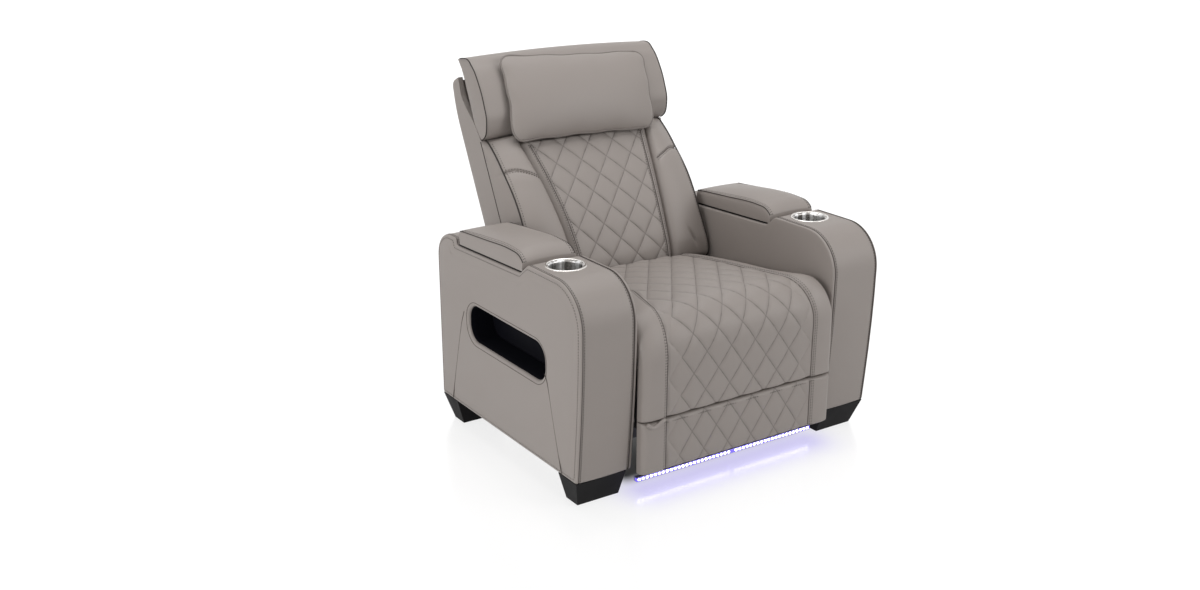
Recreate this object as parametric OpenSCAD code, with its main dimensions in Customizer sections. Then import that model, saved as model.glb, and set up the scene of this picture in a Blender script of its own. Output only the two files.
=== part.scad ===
// Cinema recliner seat: two console arms, a quilted seat that glides forward as the back reclines,
// a leg rest that swings up on a parallelogram linkage, and a tilting headrest.
// The sitter faces -Y. The origin lies on the floor, at the middle of the plan.

/* [Overall] */
// Width over the outer faces of the two arms
overall_w = 990; // [960:1:1040]
// Height of the feet
foot_h = 75; // [65:1:85]
// Reach of the leg rest in front of the arms
front_reach = 35; // [30:1:38]
// Gap between the seat and each arm
side_gap = 7; // [6:1:10]

/* [Arms] */
// Width of one arm
arm_w = 170; // [160:1:180]
// Level of the arm top beside the cup holder
arm_top_z = 595; // [590:1:605]
// Level of the arm top behind the lid
arm_tail_z = 572; // [568:1:580]
// Rear face of the arm
arm_rear_y = 730; // [715:1:745]
// Radius of the front shoulder
arm_nose_r = 113; // [100:1:120]
// Radius of the rear shoulder
arm_tail_r = 75; // [60:1:85]
// How far the front face swells over its foot
arm_swell = 24; // [20:1:28]
// Thickness of a padded side panel
panel_t = 20; // [16:1:22]
// Thickness of the band round the arm
band_t = 15; // [12:1:18]

/* [Lids and cups] */
// Front edge of the lid
lid_front_y = 258; // [250:1:266]
// Length of the lid
lid_len = 340; // [330:1:345]
// Level of the lid recess at its front
recess_front_z = 565; // [562:1:568]
// Level of the lid recess at its rear
recess_rear_z = 552; // [548:1:555]
// Height of the lid's edge
lid_edge_h = 46; // [40:1:50]
// Crown of the lid over its edges
lid_crown = 24; // [18:1:28]
// Radius of the cup's bore
cup_r = 43; // [40:1:44]
// Depth of the cup
cup_depth = 75; // [70:1:76]
// Centre of the cup behind the arms' front plane
cup_y = 179; // [175:1:183]

/* [Side pockets] */
// Front end of the pocket's mouth
pocket_front_y = 149; // [145:1:155]
// Length of the pocket's mouth
pocket_len = 403; // [395:1:410]
// Lower edge of the pocket's mouth
pocket_low_z = 298; // [292:1:302]
// Height of the pocket's mouth
pocket_h = 106; // [96:1:108]
// Corner radius of the pocket's mouth
pocket_r = 46; // [40:1:47]
// Depth of the pocket behind the panel
pocket_depth = 60; // [50:1:70]

/* [Seat] */
// Level of the seat at the top of its front roll
seat_top_z = 470; // [466:1:474]
// Radius of the front roll
roll_r = 100; // [98:1:102]
// Rear end of the seat cushion
seat_rear_y = 498; // [494:1:500]
// Underside of the seat cushion
seat_low_z = 343; // [343:1:350]
// Crown of the seat across its width
seat_crown = 15; // [10:1:20]
// Fall of the seat towards the back
seat_fall = 40; // [30:1:45]
// Width of the plain border beside the quilting
quilt_side = 78; // [68:1:93]
// Depth of the quilt's grooves
quilt_depth = 8; // [5:1:9]

/* [Leg rest] */
// Lower edge of the leg rest
leg_low_z = 68; // [66:1:72]
// Crease between the two leg rest pads
crease_z = 211; // [200:1:220]
// Thickness of a leg rest pad
leg_pad_t = 28; // [26:1:30]
// Pivot of the leg rest behind the arms' front plane
leg_pivot_y = 25; // [24:0.5:26]
// Level of the leg rest's pivot
leg_pivot_z = 415; // [414:0.5:416]

/* [Back] */
// Lean of the back from upright
lean = 26.5; // [25:0.5:28]
// Recline pivot behind the arms' front plane
back_pivot_y = 600; // [598:1:603]
// Level of the recline pivot
back_pivot_z = 385; // [383:1:388]
// Height of the back cushion over the pivot
back_top = 404; // [398:1:406]
// Thickness of the back cushion at the lumbar
back_deep = 80; // [76:1:84]
// Lower edge of the headrest over the pivot
head_low = 448; // [446:1:452]
// Height of the headrest
head_h = 233; // [228:1:236]
// Rear face of the shell behind the pivot
shell_v = 93; // [90:1:96]
// Crown of the shell across its width
shell_crown = 46.5; // [40:0.5:48]
// Top of the shell over the pivot
shell_top = 651; // [645:1:656]

/* [Hidden] */
// Colours
leather = "#9a9089";
dark_liner = "#14151c";
black_block = "#1c1a19";
steel = "#b9bcc0";
black_steel = "#26282b";
lamp_white = "#e8ecff";
nylon = "#e9e6dc";
ply = "#b08d5b";
// Fineness of turned surfaces
$fn = 48;
// Overrun of every cut past the face that it opens
cut = 1;
// Gap between pieces of different bodies that lie face to face
skin_gap = 0.3;
// Radial clearance of a running pin
run_gap = 0.06;

// Plan: half widths and the middle of the depth
arm_out_x = overall_w / 2;
arm_in_x = arm_out_x - arm_w;
seat_half_w = arm_in_x - side_gap;
arm_mid_x = arm_out_x - arm_w / 2;
shell_corner_r = 20;
shell_bend_w = 520;
shell_bend_r = 411;
shell_corner_w = shell_top - shell_corner_r;
shell_corner_drop = shell_bend_r - sqrt(pow(shell_bend_r, 2) - pow(shell_corner_w - shell_bend_w, 2));
shell_corner_v = shell_v - shell_corner_drop - shell_corner_r;
rear_reach = back_pivot_y + (shell_corner_v + shell_crown) * cos(lean)
    + shell_corner_w * sin(lean) + shell_corner_r;
plan_mid_y = (rear_reach - front_reach) / 2;

// Arm outline
nose_out = 18;
nose_y = arm_nose_r - nose_out;
nose_z = arm_top_z - arm_nose_r;
arm_foot_y = arm_swell - nose_out;
notch_run = 27;
recess_run = 10;
recess_tail = 18;
recess_rear_y = lid_front_y + lid_len + recess_tail;
recess_rise_run = 4;
nose_steps = 12;

// Lid
lid_gap = 4;
lid_side_gap = 2;
lid_board_t = 12;
lid_rear_y = lid_front_y + lid_len;
lid_slope = atan((recess_front_z - recess_rear_z) / (recess_rear_y - lid_front_y - recess_run));
lid_pivot_back = 8;
lid_pivot_y = lid_rear_y + lid_pivot_back;
lid_pivot_z = arm_tail_z;
lid_pin_r = 3;
lid_knuckle_r = 6;
lid_knuckle_w = 30;
lid_knuckle_x = 45;
lid_arm_t = 6;
lid_front_run = 34;
lid_rim_share = 0.72;
lid_nose_share = 0.35;

// Storage tub
bin_wall = 3;
bin_margin = 8;
bin_inset = 27;
bin_front_y = lid_front_y + bin_inset;
bin_rear_y = lid_rear_y - bin_inset;
bin_low_z = 440;
bin_flange = 7;
bin_flange_t = 2;

// Cup holder
cup_wall = 1.2;
cup_flange_r = 51;
cup_flange_t = 2;
cup_hole_gap = 0.8;

// Side pocket
pocket_wall = 2.5;
seam_w = 3;
seam_deep = 2;

// Feet
foot_margin_in = 15;
foot_margin_out = 3;
foot_x_in = arm_in_x + foot_margin_in;
foot_x_out = arm_out_x - foot_margin_out;
foot_taper_x = 21;
foot_taper_in = 5;
foot_deep = 85;
foot_taper_y = 27;
foot_inset = 2;
foot_front_y = arm_foot_y + foot_inset;
foot_rear_y = arm_rear_y - foot_inset;

// Glide and base
glide_y = 330;
glide_z = 270;
glide_tilt = 8;
rail_len = 460;
rail_h = 44;
rail_wall = 3;
rail_deep = 17;
shoe_len = 60;
shoe_pitch = 220;
shoe_gap = 0.5;
tube_w = 30;
front_tube_y = 140;
rear_tube_y = 620;
base_tube_z = 85;
led_y = 15;
led_deep = 14;
led_h = 12;
led_z = 26;
led_end_gap = 25;
led_half_w = arm_in_x - led_end_gap;
led_groove = 2;
hanger_t = 4;
hanger_w = 24;
hanger_x = 180;
box_w = 160;
box_deep = 100;
box_h = 46;
box_gap = 45;
box_x = arm_in_x - box_w - box_gap;
inlet_w = 28;
inlet_h = 20;
inlet_deep = 16;

// Switch panel on the sitter's right arm
switch_y = 205;
switch_z = 526;
switch_len = 150;
switch_h = 36;
switch_t = 14;
switch_lip = 2;
button_r = 9;
button_gap = 0.4;
button_pitch = 34;
button_travel = 1.5;
button_proud = 2;
button_floor = 3;

// Seat carriage
plate_t = 6;
plate_gap = 23;
plate_out_x = arm_in_x - plate_gap;
plate_in_x = plate_out_x - plate_t;
plate_top_z = seat_low_z - cut;
plate_low_z = 250;
plate_front_y = 64;
plate_tail_y = 520;
rail_w = 26;
seat_front_y = 112;
seat_back_rail_y = 470;
seat_rail_z = 312;
spring_wire = 4;
spring_amp = 28;
spring_waves = 9;
spring_count = 5;
spring_margin = 56;
spring_pitch = (plate_in_x - spring_margin) * 2 / (spring_count - 1);
wave_steps = 8;
quilt_half_w = seat_half_w - quilt_side;

// Leg rest linkage
leg_pin_r = 6;
leg_ear_r = 11;
tube_r = 12;
drop_y = 70;
drop_z = 100;
arm_dy = 5;
arm_dz = 115;
crank_y = leg_pivot_y + drop_y;
crank_z = leg_pivot_z - drop_z;
bar_t = 6;
bar_r = 10;
bar_w = 16;
bar_gap = 2;
link_pin_r = 5;
open_pin_gap = 0.3;
bracket_gap = 15;
bracket_out_x = arm_in_x - bracket_gap;
bracket_in_x = bracket_out_x - bar_t;
crank_gap = 20;
crank_in_x = plate_in_x - crank_gap;
link_in_x = crank_in_x + bar_t + bar_gap;
leg_board_t = 12;
leg_board_gap = 4;
leg_board_half_w = bracket_in_x - leg_board_gap;
motor_r = 24;
gear_half_w = 40;
gear_h = 60;
motor_len = 110;

// Recline drive
recline_range = 35;
lever_drop = 105;
lever_w = 32;
lever_t = 8;
lever_x = 60;
rod_pin_r = 6;
rod_slot_gap = 1.2;
rod_r = 9;
tine_t = 5;
tine_gap = 3;
fork_reach = 40;
rod_rear_y = back_pivot_y + lever_drop * tan(recline_range / 2);
rod_z = back_pivot_z - lever_drop;
recline_body_y = 230;
recline_body_len = 240;
recline_body_r = 26;

// Back
pivot_r = 8;
ear_r = 18;
stile_w = 26;
stile_deep = 25;
frame_v = -20.5;
stile_low = -10;
stile_top = 395;
frame_rail_h = 25;
frame_gap = 8;
frame_half_w = plate_in_x - frame_gap;
shell_gap = 9;
shell_half_w = arm_in_x - shell_gap;
back_board_t = 12;
shell_t = 16;
shell_low = 60;
shell_rim_v = -21;
shell_edge = 4;
shell_corner_in = shell_corner_r / 3;
flap_low = -115;
flap_t = 8;
flap_half_w = frame_half_w;
cushion_v = -21.3;
back_low = -18;
wing_h = 458;
wing_deep = 81;
wing_bulge = 14;
quilt_top_side = 124;
quilt_low_side = 168;
quilt_top_half = seat_half_w - quilt_top_side;
quilt_low_half = seat_half_w - quilt_low_side;
back_lip = 20;
cushion_border = 32;
head_range = 30;
head_v = -27;
head_board_t = 12;
head_board_in = 4;
head_pivot_v = -51;
head_pivot_w = 436;
head_pin_r = 5;
head_ear_r = 11;
head_ear_x = 150;
head_lever = 74;
head_lever_w = 18;
pillow_side = 73;
pillow_half_w = seat_half_w - pillow_side;
pillow_low = 400;
pillow_h = 230;
pillow_mid_v = -108;
pillow_front = 44;
pillow_rear = 18.2;

// Shares along a soft piece: first its edge, then inwards
border_shares = [1, 0.9, 0.55, 0.14];
wing_shares = [[0, 0.8], [0.1, 1], [0.35, 0.98], [0.48, 0.9],
    [0.63, 0.73], [0.76, 0.42], [0.88, 0.36], [1, 0.06]];
head_shares = [[0, 0.22], [0.1, 0.7], [0.2, 0.94], [0.57, 1], [0.8, 0.82], [0.93, 0.52], [1, 0.12]];
rim_shares = [[0, 0], [0.657, 0], [0.775, 0.46], [0.9, 0.84], [1, 0.78]];
lid_row_shares = [0, 0.03, 0.1, 0.2, 0.35, 0.5, 0.65, 0.8, 0.92, 1];
lid_col_shares = [-1, -0.94, -0.8, -0.45, 0, 0.45, 0.8, 0.94, 1];
shell_across_shares = [1, 0.97, 0.85, 0.6, 0.3, 0, -0.3, -0.6, -0.85, -0.97, -1];
shell_side_shares = [0, 0.5, 0.85];
shell_corner_turns = [lean / 2, lean, 50, 80];
head_col_shares = [-1, -0.96, -0.75, -0.4, 0, 0.4, 0.75, 0.96, 1];
wing_col_shares = [0, 0.12, 0.35, 0.65, 0.88, 1];
pillow_shares = [-1, -0.94, -0.82, -0.6, -0.3, 0, 0.3, 0.6, 0.82, 0.94, 1];

// Moves from the arms' front plane to the middle of the plan
module on_floor() {
    translate([0, -plan_mid_y, 0]) children();
}

// Moves into the leaning frame of the back, with its origin on the recline pivot
module on_back() {
    on_floor() translate([0, back_pivot_y, back_pivot_z]) rotate([-lean, 0, 0]) children();
}

// Moves into the tilted frame of the seat glide
module on_glide() {
    on_floor() translate([0, glide_y, glide_z]) rotate([-glide_tilt, 0, 0]) children();
}

// Puts a piece made for the sitter's left on one side, 1 for left and -1 for right
module on_side(side) {
    if (side > 0) children();
    else mirror([1, 0, 0]) children();
}

module both_sides() {
    on_side(1) children();
    on_side(-1) children();
}

// A profile in Y and Z carried along X from x0 to x1
module along_x(x0, x1) {
    translate([x0, 0, 0]) rotate([90, 0, 90]) linear_extrude(x1 - x0) children();
}

// A round bar along X
module bar_x(x0, x1, y, z, r) {
    translate([x0, y, z]) rotate([0, 90, 0]) cylinder(h = x1 - x0, r = r);
}

// A flat strip of width w between two points
module strip(a, b, w) {
    d = b - a;
    n = [-d[1], d[0]] / norm(d) * w / 2;
    polygon([a + n, a - n, b - n, b + n]);
}

// A block from its lowest corner to its highest
module block(low, high) {
    translate(low) cube(high - low);
}

// Closed solid between a front and a rear grid of points that share their size
module skin(front, rear, shift = 0) {
    rows = len(front);
    cols = len(front[0]);
    n = rows * cols;
    function at(i, j) = i * cols + j;
    function cell(a, b, c, d, slant) = slant == 0 ? [[a, d, c], [a, c, b]] : [[a, d, b], [b, d, c]];
    faces = concat(
        [for (i = [0 : rows - 2]) for (j = [0 : cols - 2])
            each cell(at(i, j), at(i, j + 1), at(i + 1, j + 1), at(i + 1, j), (i + j + shift) % 2)],
        [for (i = [0 : rows - 2]) for (j = [0 : cols - 2])
            each cell(n + at(i, j), n + at(i + 1, j), n + at(i + 1, j + 1), n + at(i, j + 1), 0)],
        [for (j = [0 : cols - 2]) each concat(
            cell(at(0, j + 1), at(0, j), n + at(0, j), n + at(0, j + 1), 0),
            cell(at(rows - 1, j), at(rows - 1, j + 1), n + at(rows - 1, j + 1), n + at(rows - 1, j), 0))],
        [for (i = [0 : rows - 2]) each concat(
            cell(at(i, 0), at(i + 1, 0), n + at(i + 1, 0), n + at(i, 0), 0),
            cell(at(i + 1, cols - 1), at(i, cols - 1), n + at(i, cols - 1), n + at(i + 1, cols - 1), 0))]
    );
    polyhedron(points = [for (grid = [front, rear]) for (row = grid) for (p = row) p], faces = faces);
}

// Diamond quilting: 0 in a groove and 1 at the middle of a diamond, a and b in quarters of a diamond
function quilt(a, b) = sqrt(abs(sin(90 * (a + b) / 2) * sin(90 * (a - b) / 2)));

// Columns of a quilted piece: its plain borders, then quarters of diamonds, as [x, quarter]
quilt_cols = 10;
function quilt_columns(half, field) = concat(
    [for (s = border_shares) [-field - (half - field) * s, undef]],
    [for (a = [-quilt_cols : quilt_cols]) [field * a / quilt_cols, a]],
    [for (k = [len(border_shares) - 1 : -1 : 0]) [field + (half - field) * border_shares[k], undef]]
);

// How deep a groove lies at a column and a row, with the border's seam beside the field
function groove(col, row) = is_undef(col[1]) ? 0 : quilt_depth * (1 - quilt(col[1], row));

// Rounding of a soft piece towards its sides
edge_round = 20;
function side_drop(x, half) = edge_round * pow(abs(x) / half, 5);

// Arm outline at an inset t from the outer surface
function arc_points(cy, cz, r, a0, a1, n) =
    [for (k = [0 : n]) let (a = a0 + (a1 - a0) * k / n) [cy + r * cos(a), cz + r * sin(a)]];
function arm_points(t) = concat(
    [for (k = [0 : 5]) let (u = k / 5)
        [arm_foot_y + t - arm_swell * sin(90 * u), foot_h + t + (nose_z - foot_h - t) * u]],
    arc_points(nose_y, nose_z, arm_nose_r - t, 180, 90, nose_steps),
    [[lid_front_y - notch_run, arm_top_z - t],
     [lid_front_y + recess_run, recess_front_z - t],
     [recess_rear_y + t, recess_rear_z - t],
     [recess_rear_y + recess_rise_run + t, arm_tail_z - t]],
    arc_points(arm_rear_y - arm_tail_r, arm_tail_z - arm_tail_r, arm_tail_r - t, 90, 0, nose_steps),
    [[arm_rear_y - t, foot_h + t]]
);

// Rounded outline of the side pocket, grown by g
module pocket_outline(g = 0) {
    r = pocket_r + g;
    lo = [pocket_front_y - g, pocket_low_z - g];
    hi = [pocket_front_y + pocket_len + g, pocket_low_z + pocket_h + g];
    translate([lo[0] + r, lo[1]]) square([hi[0] - lo[0] - 2 * r, hi[1] - lo[1]]);
    translate([lo[0], lo[1] + r]) square([hi[0] - lo[0], hi[1] - lo[1] - 2 * r]);
    for (y = [lo[0] + r, hi[0] - r]) for (z = [lo[1] + r, hi[1] - r]) translate([y, z]) circle(r = r);
}

// Seams of the insert below the pocket, from the pocket's ends to the underside of the arm
seam_out = 50;
seam_spread = 62;
seam_rise = 10;
seam_rear_top = [pocket_front_y + pocket_len + seam_out, pocket_low_z + seam_rise];
seam_rear_low = [seam_rear_top[0] + seam_spread, foot_h];
seam_front_top = [pocket_front_y - seam_out / 3, pocket_low_z + seam_rise];
seam_front_low = [seam_front_top[0] - seam_spread, foot_h];

module arm_outer_panel(side) {
    color(leather) on_floor() on_side(side) difference() {
        along_x(arm_out_x - panel_t, arm_out_x) polygon(arm_points(0));
        along_x(arm_out_x - panel_t - cut, arm_out_x + cut) pocket_outline();
        along_x(arm_out_x - seam_deep, arm_out_x + cut) {
            strip(seam_rear_top, seam_rear_low, seam_w);
            strip(seam_front_top, seam_front_low, seam_w);
        }
    }
}

module arm_inner_panel(side) {
    color(leather) on_floor() on_side(side) difference() {
        along_x(arm_in_x, arm_in_x + panel_t) polygon(arm_points(0));
        if (side < 0)
            block([arm_in_x - cut, switch_y - switch_len / 2, switch_z - switch_h / 2],
                [arm_in_x + panel_t + cut, switch_y + switch_len / 2, switch_z + switch_h / 2]);
    }
}

// The band runs right round the arm between its side panels, with holes for the tub and the cup
module arm_band(side) {
    color(leather) on_floor() on_side(side) difference() {
        along_x(arm_in_x + panel_t, arm_out_x - panel_t) difference() {
            polygon(arm_points(0));
            polygon(arm_points(band_t));
        }
        block([arm_in_x + panel_t + bin_margin - bin_wall, bin_front_y - bin_wall, bin_low_z],
            [arm_out_x - panel_t - bin_margin + bin_wall, bin_rear_y + bin_wall, arm_top_z]);
        translate([arm_mid_x, cup_y, arm_top_z - cup_depth])
            cylinder(h = cup_depth + cut, r = cup_r + cup_wall + cup_hole_gap);
    }
}

// Level of the floor of the lid recess, and of the lid's underside, at a place along the arm
function recess_z(y) = recess_rear_z + (recess_rear_y - y) * tan(lid_slope);
function lid_low(y) = recess_z(y) + lid_gap;

// Storage tub hung by its flange from the floor of the lid recess
module arm_bin(side) {
    x0 = arm_in_x + panel_t + bin_margin;
    x1 = arm_out_x - panel_t - bin_margin;
    wall = bin_wall - skin_gap;
    color(dark_liner) on_floor() on_side(side) difference() {
        union() {
            block([x0 - wall, bin_front_y - wall, bin_low_z],
                [x1 + wall, bin_rear_y + wall, recess_z(bin_rear_y)]);
            along_x(x0 - bin_flange, x1 + bin_flange) polygon([for (c = [[-1, 0], [1, 0], [1, 1], [-1, 1]])
                let (y = c[0] < 0 ? bin_front_y - bin_flange : bin_rear_y + bin_flange)
                [y, recess_z(y) + c[1] * bin_flange_t]]);
            along_x(x0 - wall, x1 + wall) polygon([
                [bin_front_y - wall, recess_rear_z - bin_wall], [bin_rear_y + wall, recess_rear_z - bin_wall],
                [bin_rear_y + wall, recess_z(bin_rear_y + wall)],
                [bin_front_y - wall, recess_z(bin_front_y - wall)]]);
        }
        block([x0, bin_front_y, bin_low_z + bin_wall], [x1, bin_rear_y, arm_top_z]);
    }
}

module cup_holder(side) {
    color(steel) on_floor() on_side(side) translate([arm_mid_x, cup_y, arm_top_z])
        rotate_extrude() difference() {
            union() {
                translate([0, -cup_depth]) square([cup_r + cup_wall, cup_depth]);
                square([cup_flange_r, cup_flange_t]);
            }
            translate([0, cup_wall - cup_depth]) square([cup_r, cup_depth + cup_flange_t + cut]);
        }
}

module pocket_liner(side) {
    x1 = arm_out_x - panel_t;
    color(dark_liner) on_floor() on_side(side) difference() {
        along_x(x1 - pocket_depth, x1) pocket_outline(pocket_wall);
        along_x(x1 - pocket_depth + pocket_wall, x1 + cut) pocket_outline();
    }
}

// Hinge pins of the lids, each held by two ears that stand on the recess floor
module lid_pins() {
    ear_x = lid_knuckle_x + lid_knuckle_w / 2;
    color(steel) on_floor() both_sides() {
        bar_x(arm_mid_x - ear_x - lid_arm_t, arm_mid_x + ear_x + lid_arm_t,
            lid_pivot_y, lid_pivot_z, lid_pin_r);
        for (x = [arm_mid_x - ear_x - lid_arm_t, arm_mid_x + ear_x]) along_x(x, x + lid_arm_t) {
            translate([lid_pivot_y, lid_pivot_z]) circle(r = lid_knuckle_r);
            polygon([for (c = [[-1, 0], [1, 0], [1, 1], [-1, 1]]) let (y = lid_pivot_y + c[0] * lid_knuckle_r)
                [y, c[1] > 0 ? lid_pivot_z : recess_z(y)]]);
        }
    }
}

module foot(side, front) {
    w0 = foot_x_in;
    w1 = foot_x_out;
    edge = front ? foot_front_y : foot_rear_y;
    dir = front ? 1 : -1;
    color(black_block) on_floor() on_side(side) intersection() {
        along_x(w0, w1) polygon([[edge, foot_h], [edge + dir * foot_deep, foot_h],
            [edge + dir * (foot_deep - foot_taper_y / 6), 0], [edge + dir * foot_taper_y, 0]]);
        translate([0, edge + (dir < 0 ? -foot_deep : 0), 0]) translate([0, foot_deep, 0]) rotate([90, 0, 0])
            linear_extrude(foot_deep) polygon([[w0, foot_h], [w0 + foot_taper_in, 0],
                [w1 - foot_taper_x, 0], [w1, foot_h]]);
    }
}

// Inclined C channel, open towards the seat
module base_rail(side) {
    color(black_steel) on_glide() on_side(side) difference() {
        block([arm_in_x - rail_deep, -rail_len / 2, -rail_h / 2], [arm_in_x, rail_len / 2, rail_h / 2]);
        block([arm_in_x - rail_deep - cut, -rail_len / 2 - cut, rail_wall - rail_h / 2],
            [arm_in_x - rail_wall, rail_len / 2 + cut, rail_h / 2 - rail_wall]);
    }
}

// Square tubes from arm to arm; the front one has two hangers for the light bar
module cross_tubes() {
    color(black_steel) on_floor() {
        for (y = [front_tube_y, rear_tube_y])
            block([-arm_in_x, y, base_tube_z], [arm_in_x, y + tube_w, base_tube_z + tube_w]);
        for (x = [-hanger_x, hanger_x])
            translate([x - hanger_w / 2, 0, 0]) rotate([90, 0, 90]) linear_extrude(hanger_w) polygon([
                [front_tube_y, base_tube_z], [front_tube_y, base_tube_z + hanger_t * 2],
                [front_tube_y - hanger_t, base_tube_z + hanger_t * 2], [front_tube_y - hanger_t, base_tube_z],
                [led_y + led_deep, led_z + led_h], [led_y + led_deep, led_z + led_h - hanger_t]]);
    }
}

module led_bar() {
    color(steel) on_floor() difference() {
        block([-led_half_w, led_y, led_z], [led_half_w, led_y + led_deep, led_z + led_h]);
        block([-led_half_w - cut, led_y - cut, led_z + led_groove],
            [led_half_w + cut, led_y + led_deep / 2, led_z + led_h - led_groove]);
    }
}

// Light strip seated in the bar's groove, facing forward
module led_strip() {
    color(lamp_white) on_floor() block([-led_half_w, led_y + led_groove / 2, led_z + led_groove],
        [led_half_w, led_y + led_deep / 2, led_z + led_h - led_groove]);
}

module power_box() {
    y0 = rear_tube_y - box_deep;
    color(dark_liner) on_floor() difference() {
        block([box_x, y0, base_tube_z], [box_x + box_w, rear_tube_y, base_tube_z + box_h]);
        block([box_x - cut, y0 + box_deep / 2 - inlet_w / 2, base_tube_z + box_h / 2 - inlet_h / 2],
            [box_x + inlet_deep, y0 + box_deep / 2 + inlet_w / 2, base_tube_z + box_h / 2 + inlet_h / 2]);
    }
}

// Buttons stand in a row; place counts from the front
button_count = 4;
function button_y(place) = switch_y + (place - (button_count - 1) / 2) * button_pitch;

module switch_panel() {
    x0 = arm_in_x - switch_lip;
    x1 = arm_in_x + switch_t;
    color(dark_liner) on_floor() on_side(-1) difference() {
        union() {
            block([x0, switch_y - switch_len / 2 - switch_lip, switch_z - switch_h / 2 - switch_lip],
                [arm_in_x, switch_y + switch_len / 2 + switch_lip, switch_z + switch_h / 2 + switch_lip]);
            block([x0, switch_y - switch_len / 2, switch_z - switch_h / 2],
                [x1, switch_y + switch_len / 2, switch_z + switch_h / 2]);
        }
        for (k = [0 : button_count - 1])
            bar_x(x0 - cut, x1 - button_floor, button_y(k), switch_z, button_r + button_gap);
    }
}

module push_button(place) {
    x0 = arm_in_x - switch_lip - button_proud;
    x1 = arm_in_x + switch_t - button_floor - button_travel - skin_gap;
    color(steel) on_floor() on_side(-1) bar_x(x0, x1, button_y(place), switch_z, button_r);
}

module lid_board(side) {
    x_in = lid_side_gap + bin_flange;
    low = lid_low(lid_rear_y);
    color(dark_liner) on_floor() on_side(side) {
        along_x(arm_in_x + x_in, arm_out_x - x_in) polygon([
            [lid_front_y + bin_flange, lid_low(lid_front_y)],
            [lid_rear_y, low], [lid_rear_y, low + lid_board_t],
            [lid_front_y + bin_flange, lid_low(lid_front_y) + lid_board_t]]);
        for (x = [arm_mid_x - lid_knuckle_x / 2, arm_mid_x + lid_knuckle_x / 2]) difference() {
            along_x(x - lid_knuckle_w / 2, x + lid_knuckle_w / 2) {
                translate([lid_pivot_y, lid_pivot_z]) circle(r = lid_knuckle_r);
                polygon([[lid_rear_y - lid_arm_t, low], [lid_rear_y + lid_arm_t / 2, low],
                    [lid_pivot_y + lid_knuckle_r * 0.7, lid_pivot_z - lid_knuckle_r * 0.7],
                    [lid_pivot_y - lid_knuckle_r * 0.9, lid_pivot_z],
                    [lid_rear_y + skin_gap, low + lid_board_t], [lid_rear_y - lid_arm_t, low + lid_board_t]]);
            }
            bar_x(x - lid_knuckle_w, x + lid_knuckle_w, lid_pivot_y, lid_pivot_z, lid_pin_r + run_gap);
        }
    }
}

// Padded lid: sloping front, crowned top, sides drawn in over the board
module lid_pad(side) {
    half = arm_w / 2 - lid_side_gap;
    low = lid_board_t + skin_gap;
    rows = lid_row_shares;
    cols = lid_col_shares;
    nose = lid_front_run / lid_len;
    function rise(u) = (lid_edge_h - low) * (u < nose ? lid_nose_share + (1 - lid_nose_share) * u / nose : 1);
    function swell(u, s) = lid_crown * (1 - pow(abs(s), 3)) * sin(180 * min(1, u * 0.9 + 0.08));
    top = [for (u = rows) [for (s = cols) let (y = lid_front_y + lid_len * u)
        [arm_mid_x + s * half, y, lid_low(y) + low
            + (u == 0 || u == 1 || abs(s) == 1 ? rise(u) * lid_rim_share : rise(u) + swell(u, s))]]];
    base = [for (u = rows) [for (s = cols) let (y = lid_front_y + lid_len * u)
        [arm_mid_x + s * half, y, lid_low(y) + low]]];
    color(leather) on_floor() on_side(side) skin(top, base);
}

// Side plate of the seat carriage, from the leg rest pivot to the recline pivot
module seat_plate(side) {
    color(black_steel) on_floor() on_side(side) difference() {
        along_x(plate_in_x, plate_out_x) {
            polygon([[plate_front_y, plate_low_z], [plate_tail_y, plate_low_z],
                [back_pivot_y + ear_r * 0.6, back_pivot_z - ear_r * 0.8],
                [back_pivot_y - ear_r * 0.94, back_pivot_z - ear_r * 0.34],
                [plate_tail_y, plate_top_z], [plate_front_y, plate_top_z]]);
            translate([back_pivot_y, back_pivot_z]) circle(r = ear_r);
            translate([leg_pivot_y, leg_pivot_z]) circle(r = leg_ear_r);
            polygon([[plate_front_y, plate_top_z - ear_r], [plate_front_y, leg_pivot_z - ear_r],
                [leg_pivot_y + leg_ear_r * 0.7, leg_pivot_z + leg_ear_r * 0.7],
                [leg_pivot_y - leg_ear_r * 0.8, leg_pivot_z - leg_ear_r * 0.6]]);
        }
        bar_x(plate_in_x - cut, plate_out_x + cut, back_pivot_y, back_pivot_z, pivot_r + run_gap);
        bar_x(plate_in_x - cut, plate_out_x + cut, leg_pivot_y, leg_pivot_z, leg_pin_r + run_gap);
        bar_x(plate_in_x - cut, plate_out_x + cut, crank_y, crank_z, tube_r + run_gap);
    }
}

module seat_rails() {
    color(black_steel) on_floor() for (y = [seat_front_y, seat_back_rail_y])
        block([-plate_in_x, y, seat_rail_z], [plate_in_x, y + rail_w, seat_rail_z + rail_w]);
}

// Zigzag springs stretched from the front rail to the rear rail
module seat_springs() {
    span = seat_back_rail_y + rail_w - seat_front_y;
    steps = spring_waves * wave_steps;
    function sway(k) = spring_amp * sin(360 * k / wave_steps);
    color(steel) on_floor() for (k = [0 : spring_count - 1])
        translate([(k - (spring_count - 1) / 2) * spring_pitch, seat_front_y, seat_rail_z + rail_w])
            linear_extrude(spring_wire) polygon(concat(
                [for (i = [0 : steps]) [sway(i) + spring_wire / 2, span * i / steps]],
                [for (i = [steps : -1 : 0]) [sway(i) - spring_wire / 2, span * i / steps]]));
}

// Nylon shoes on the seat plates, inside the base rails
module glide_shoes() {
    shoe_h = rail_h - 2 * rail_wall - 2 * shoe_gap;
    color(nylon) on_glide() both_sides() for (y = [-shoe_pitch / 2, shoe_pitch / 2])
        block([plate_out_x, y - shoe_len / 2, -shoe_h / 2],
            [arm_in_x - rail_wall - shoe_gap, y + shoe_len / 2, shoe_h / 2]);
}

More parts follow.
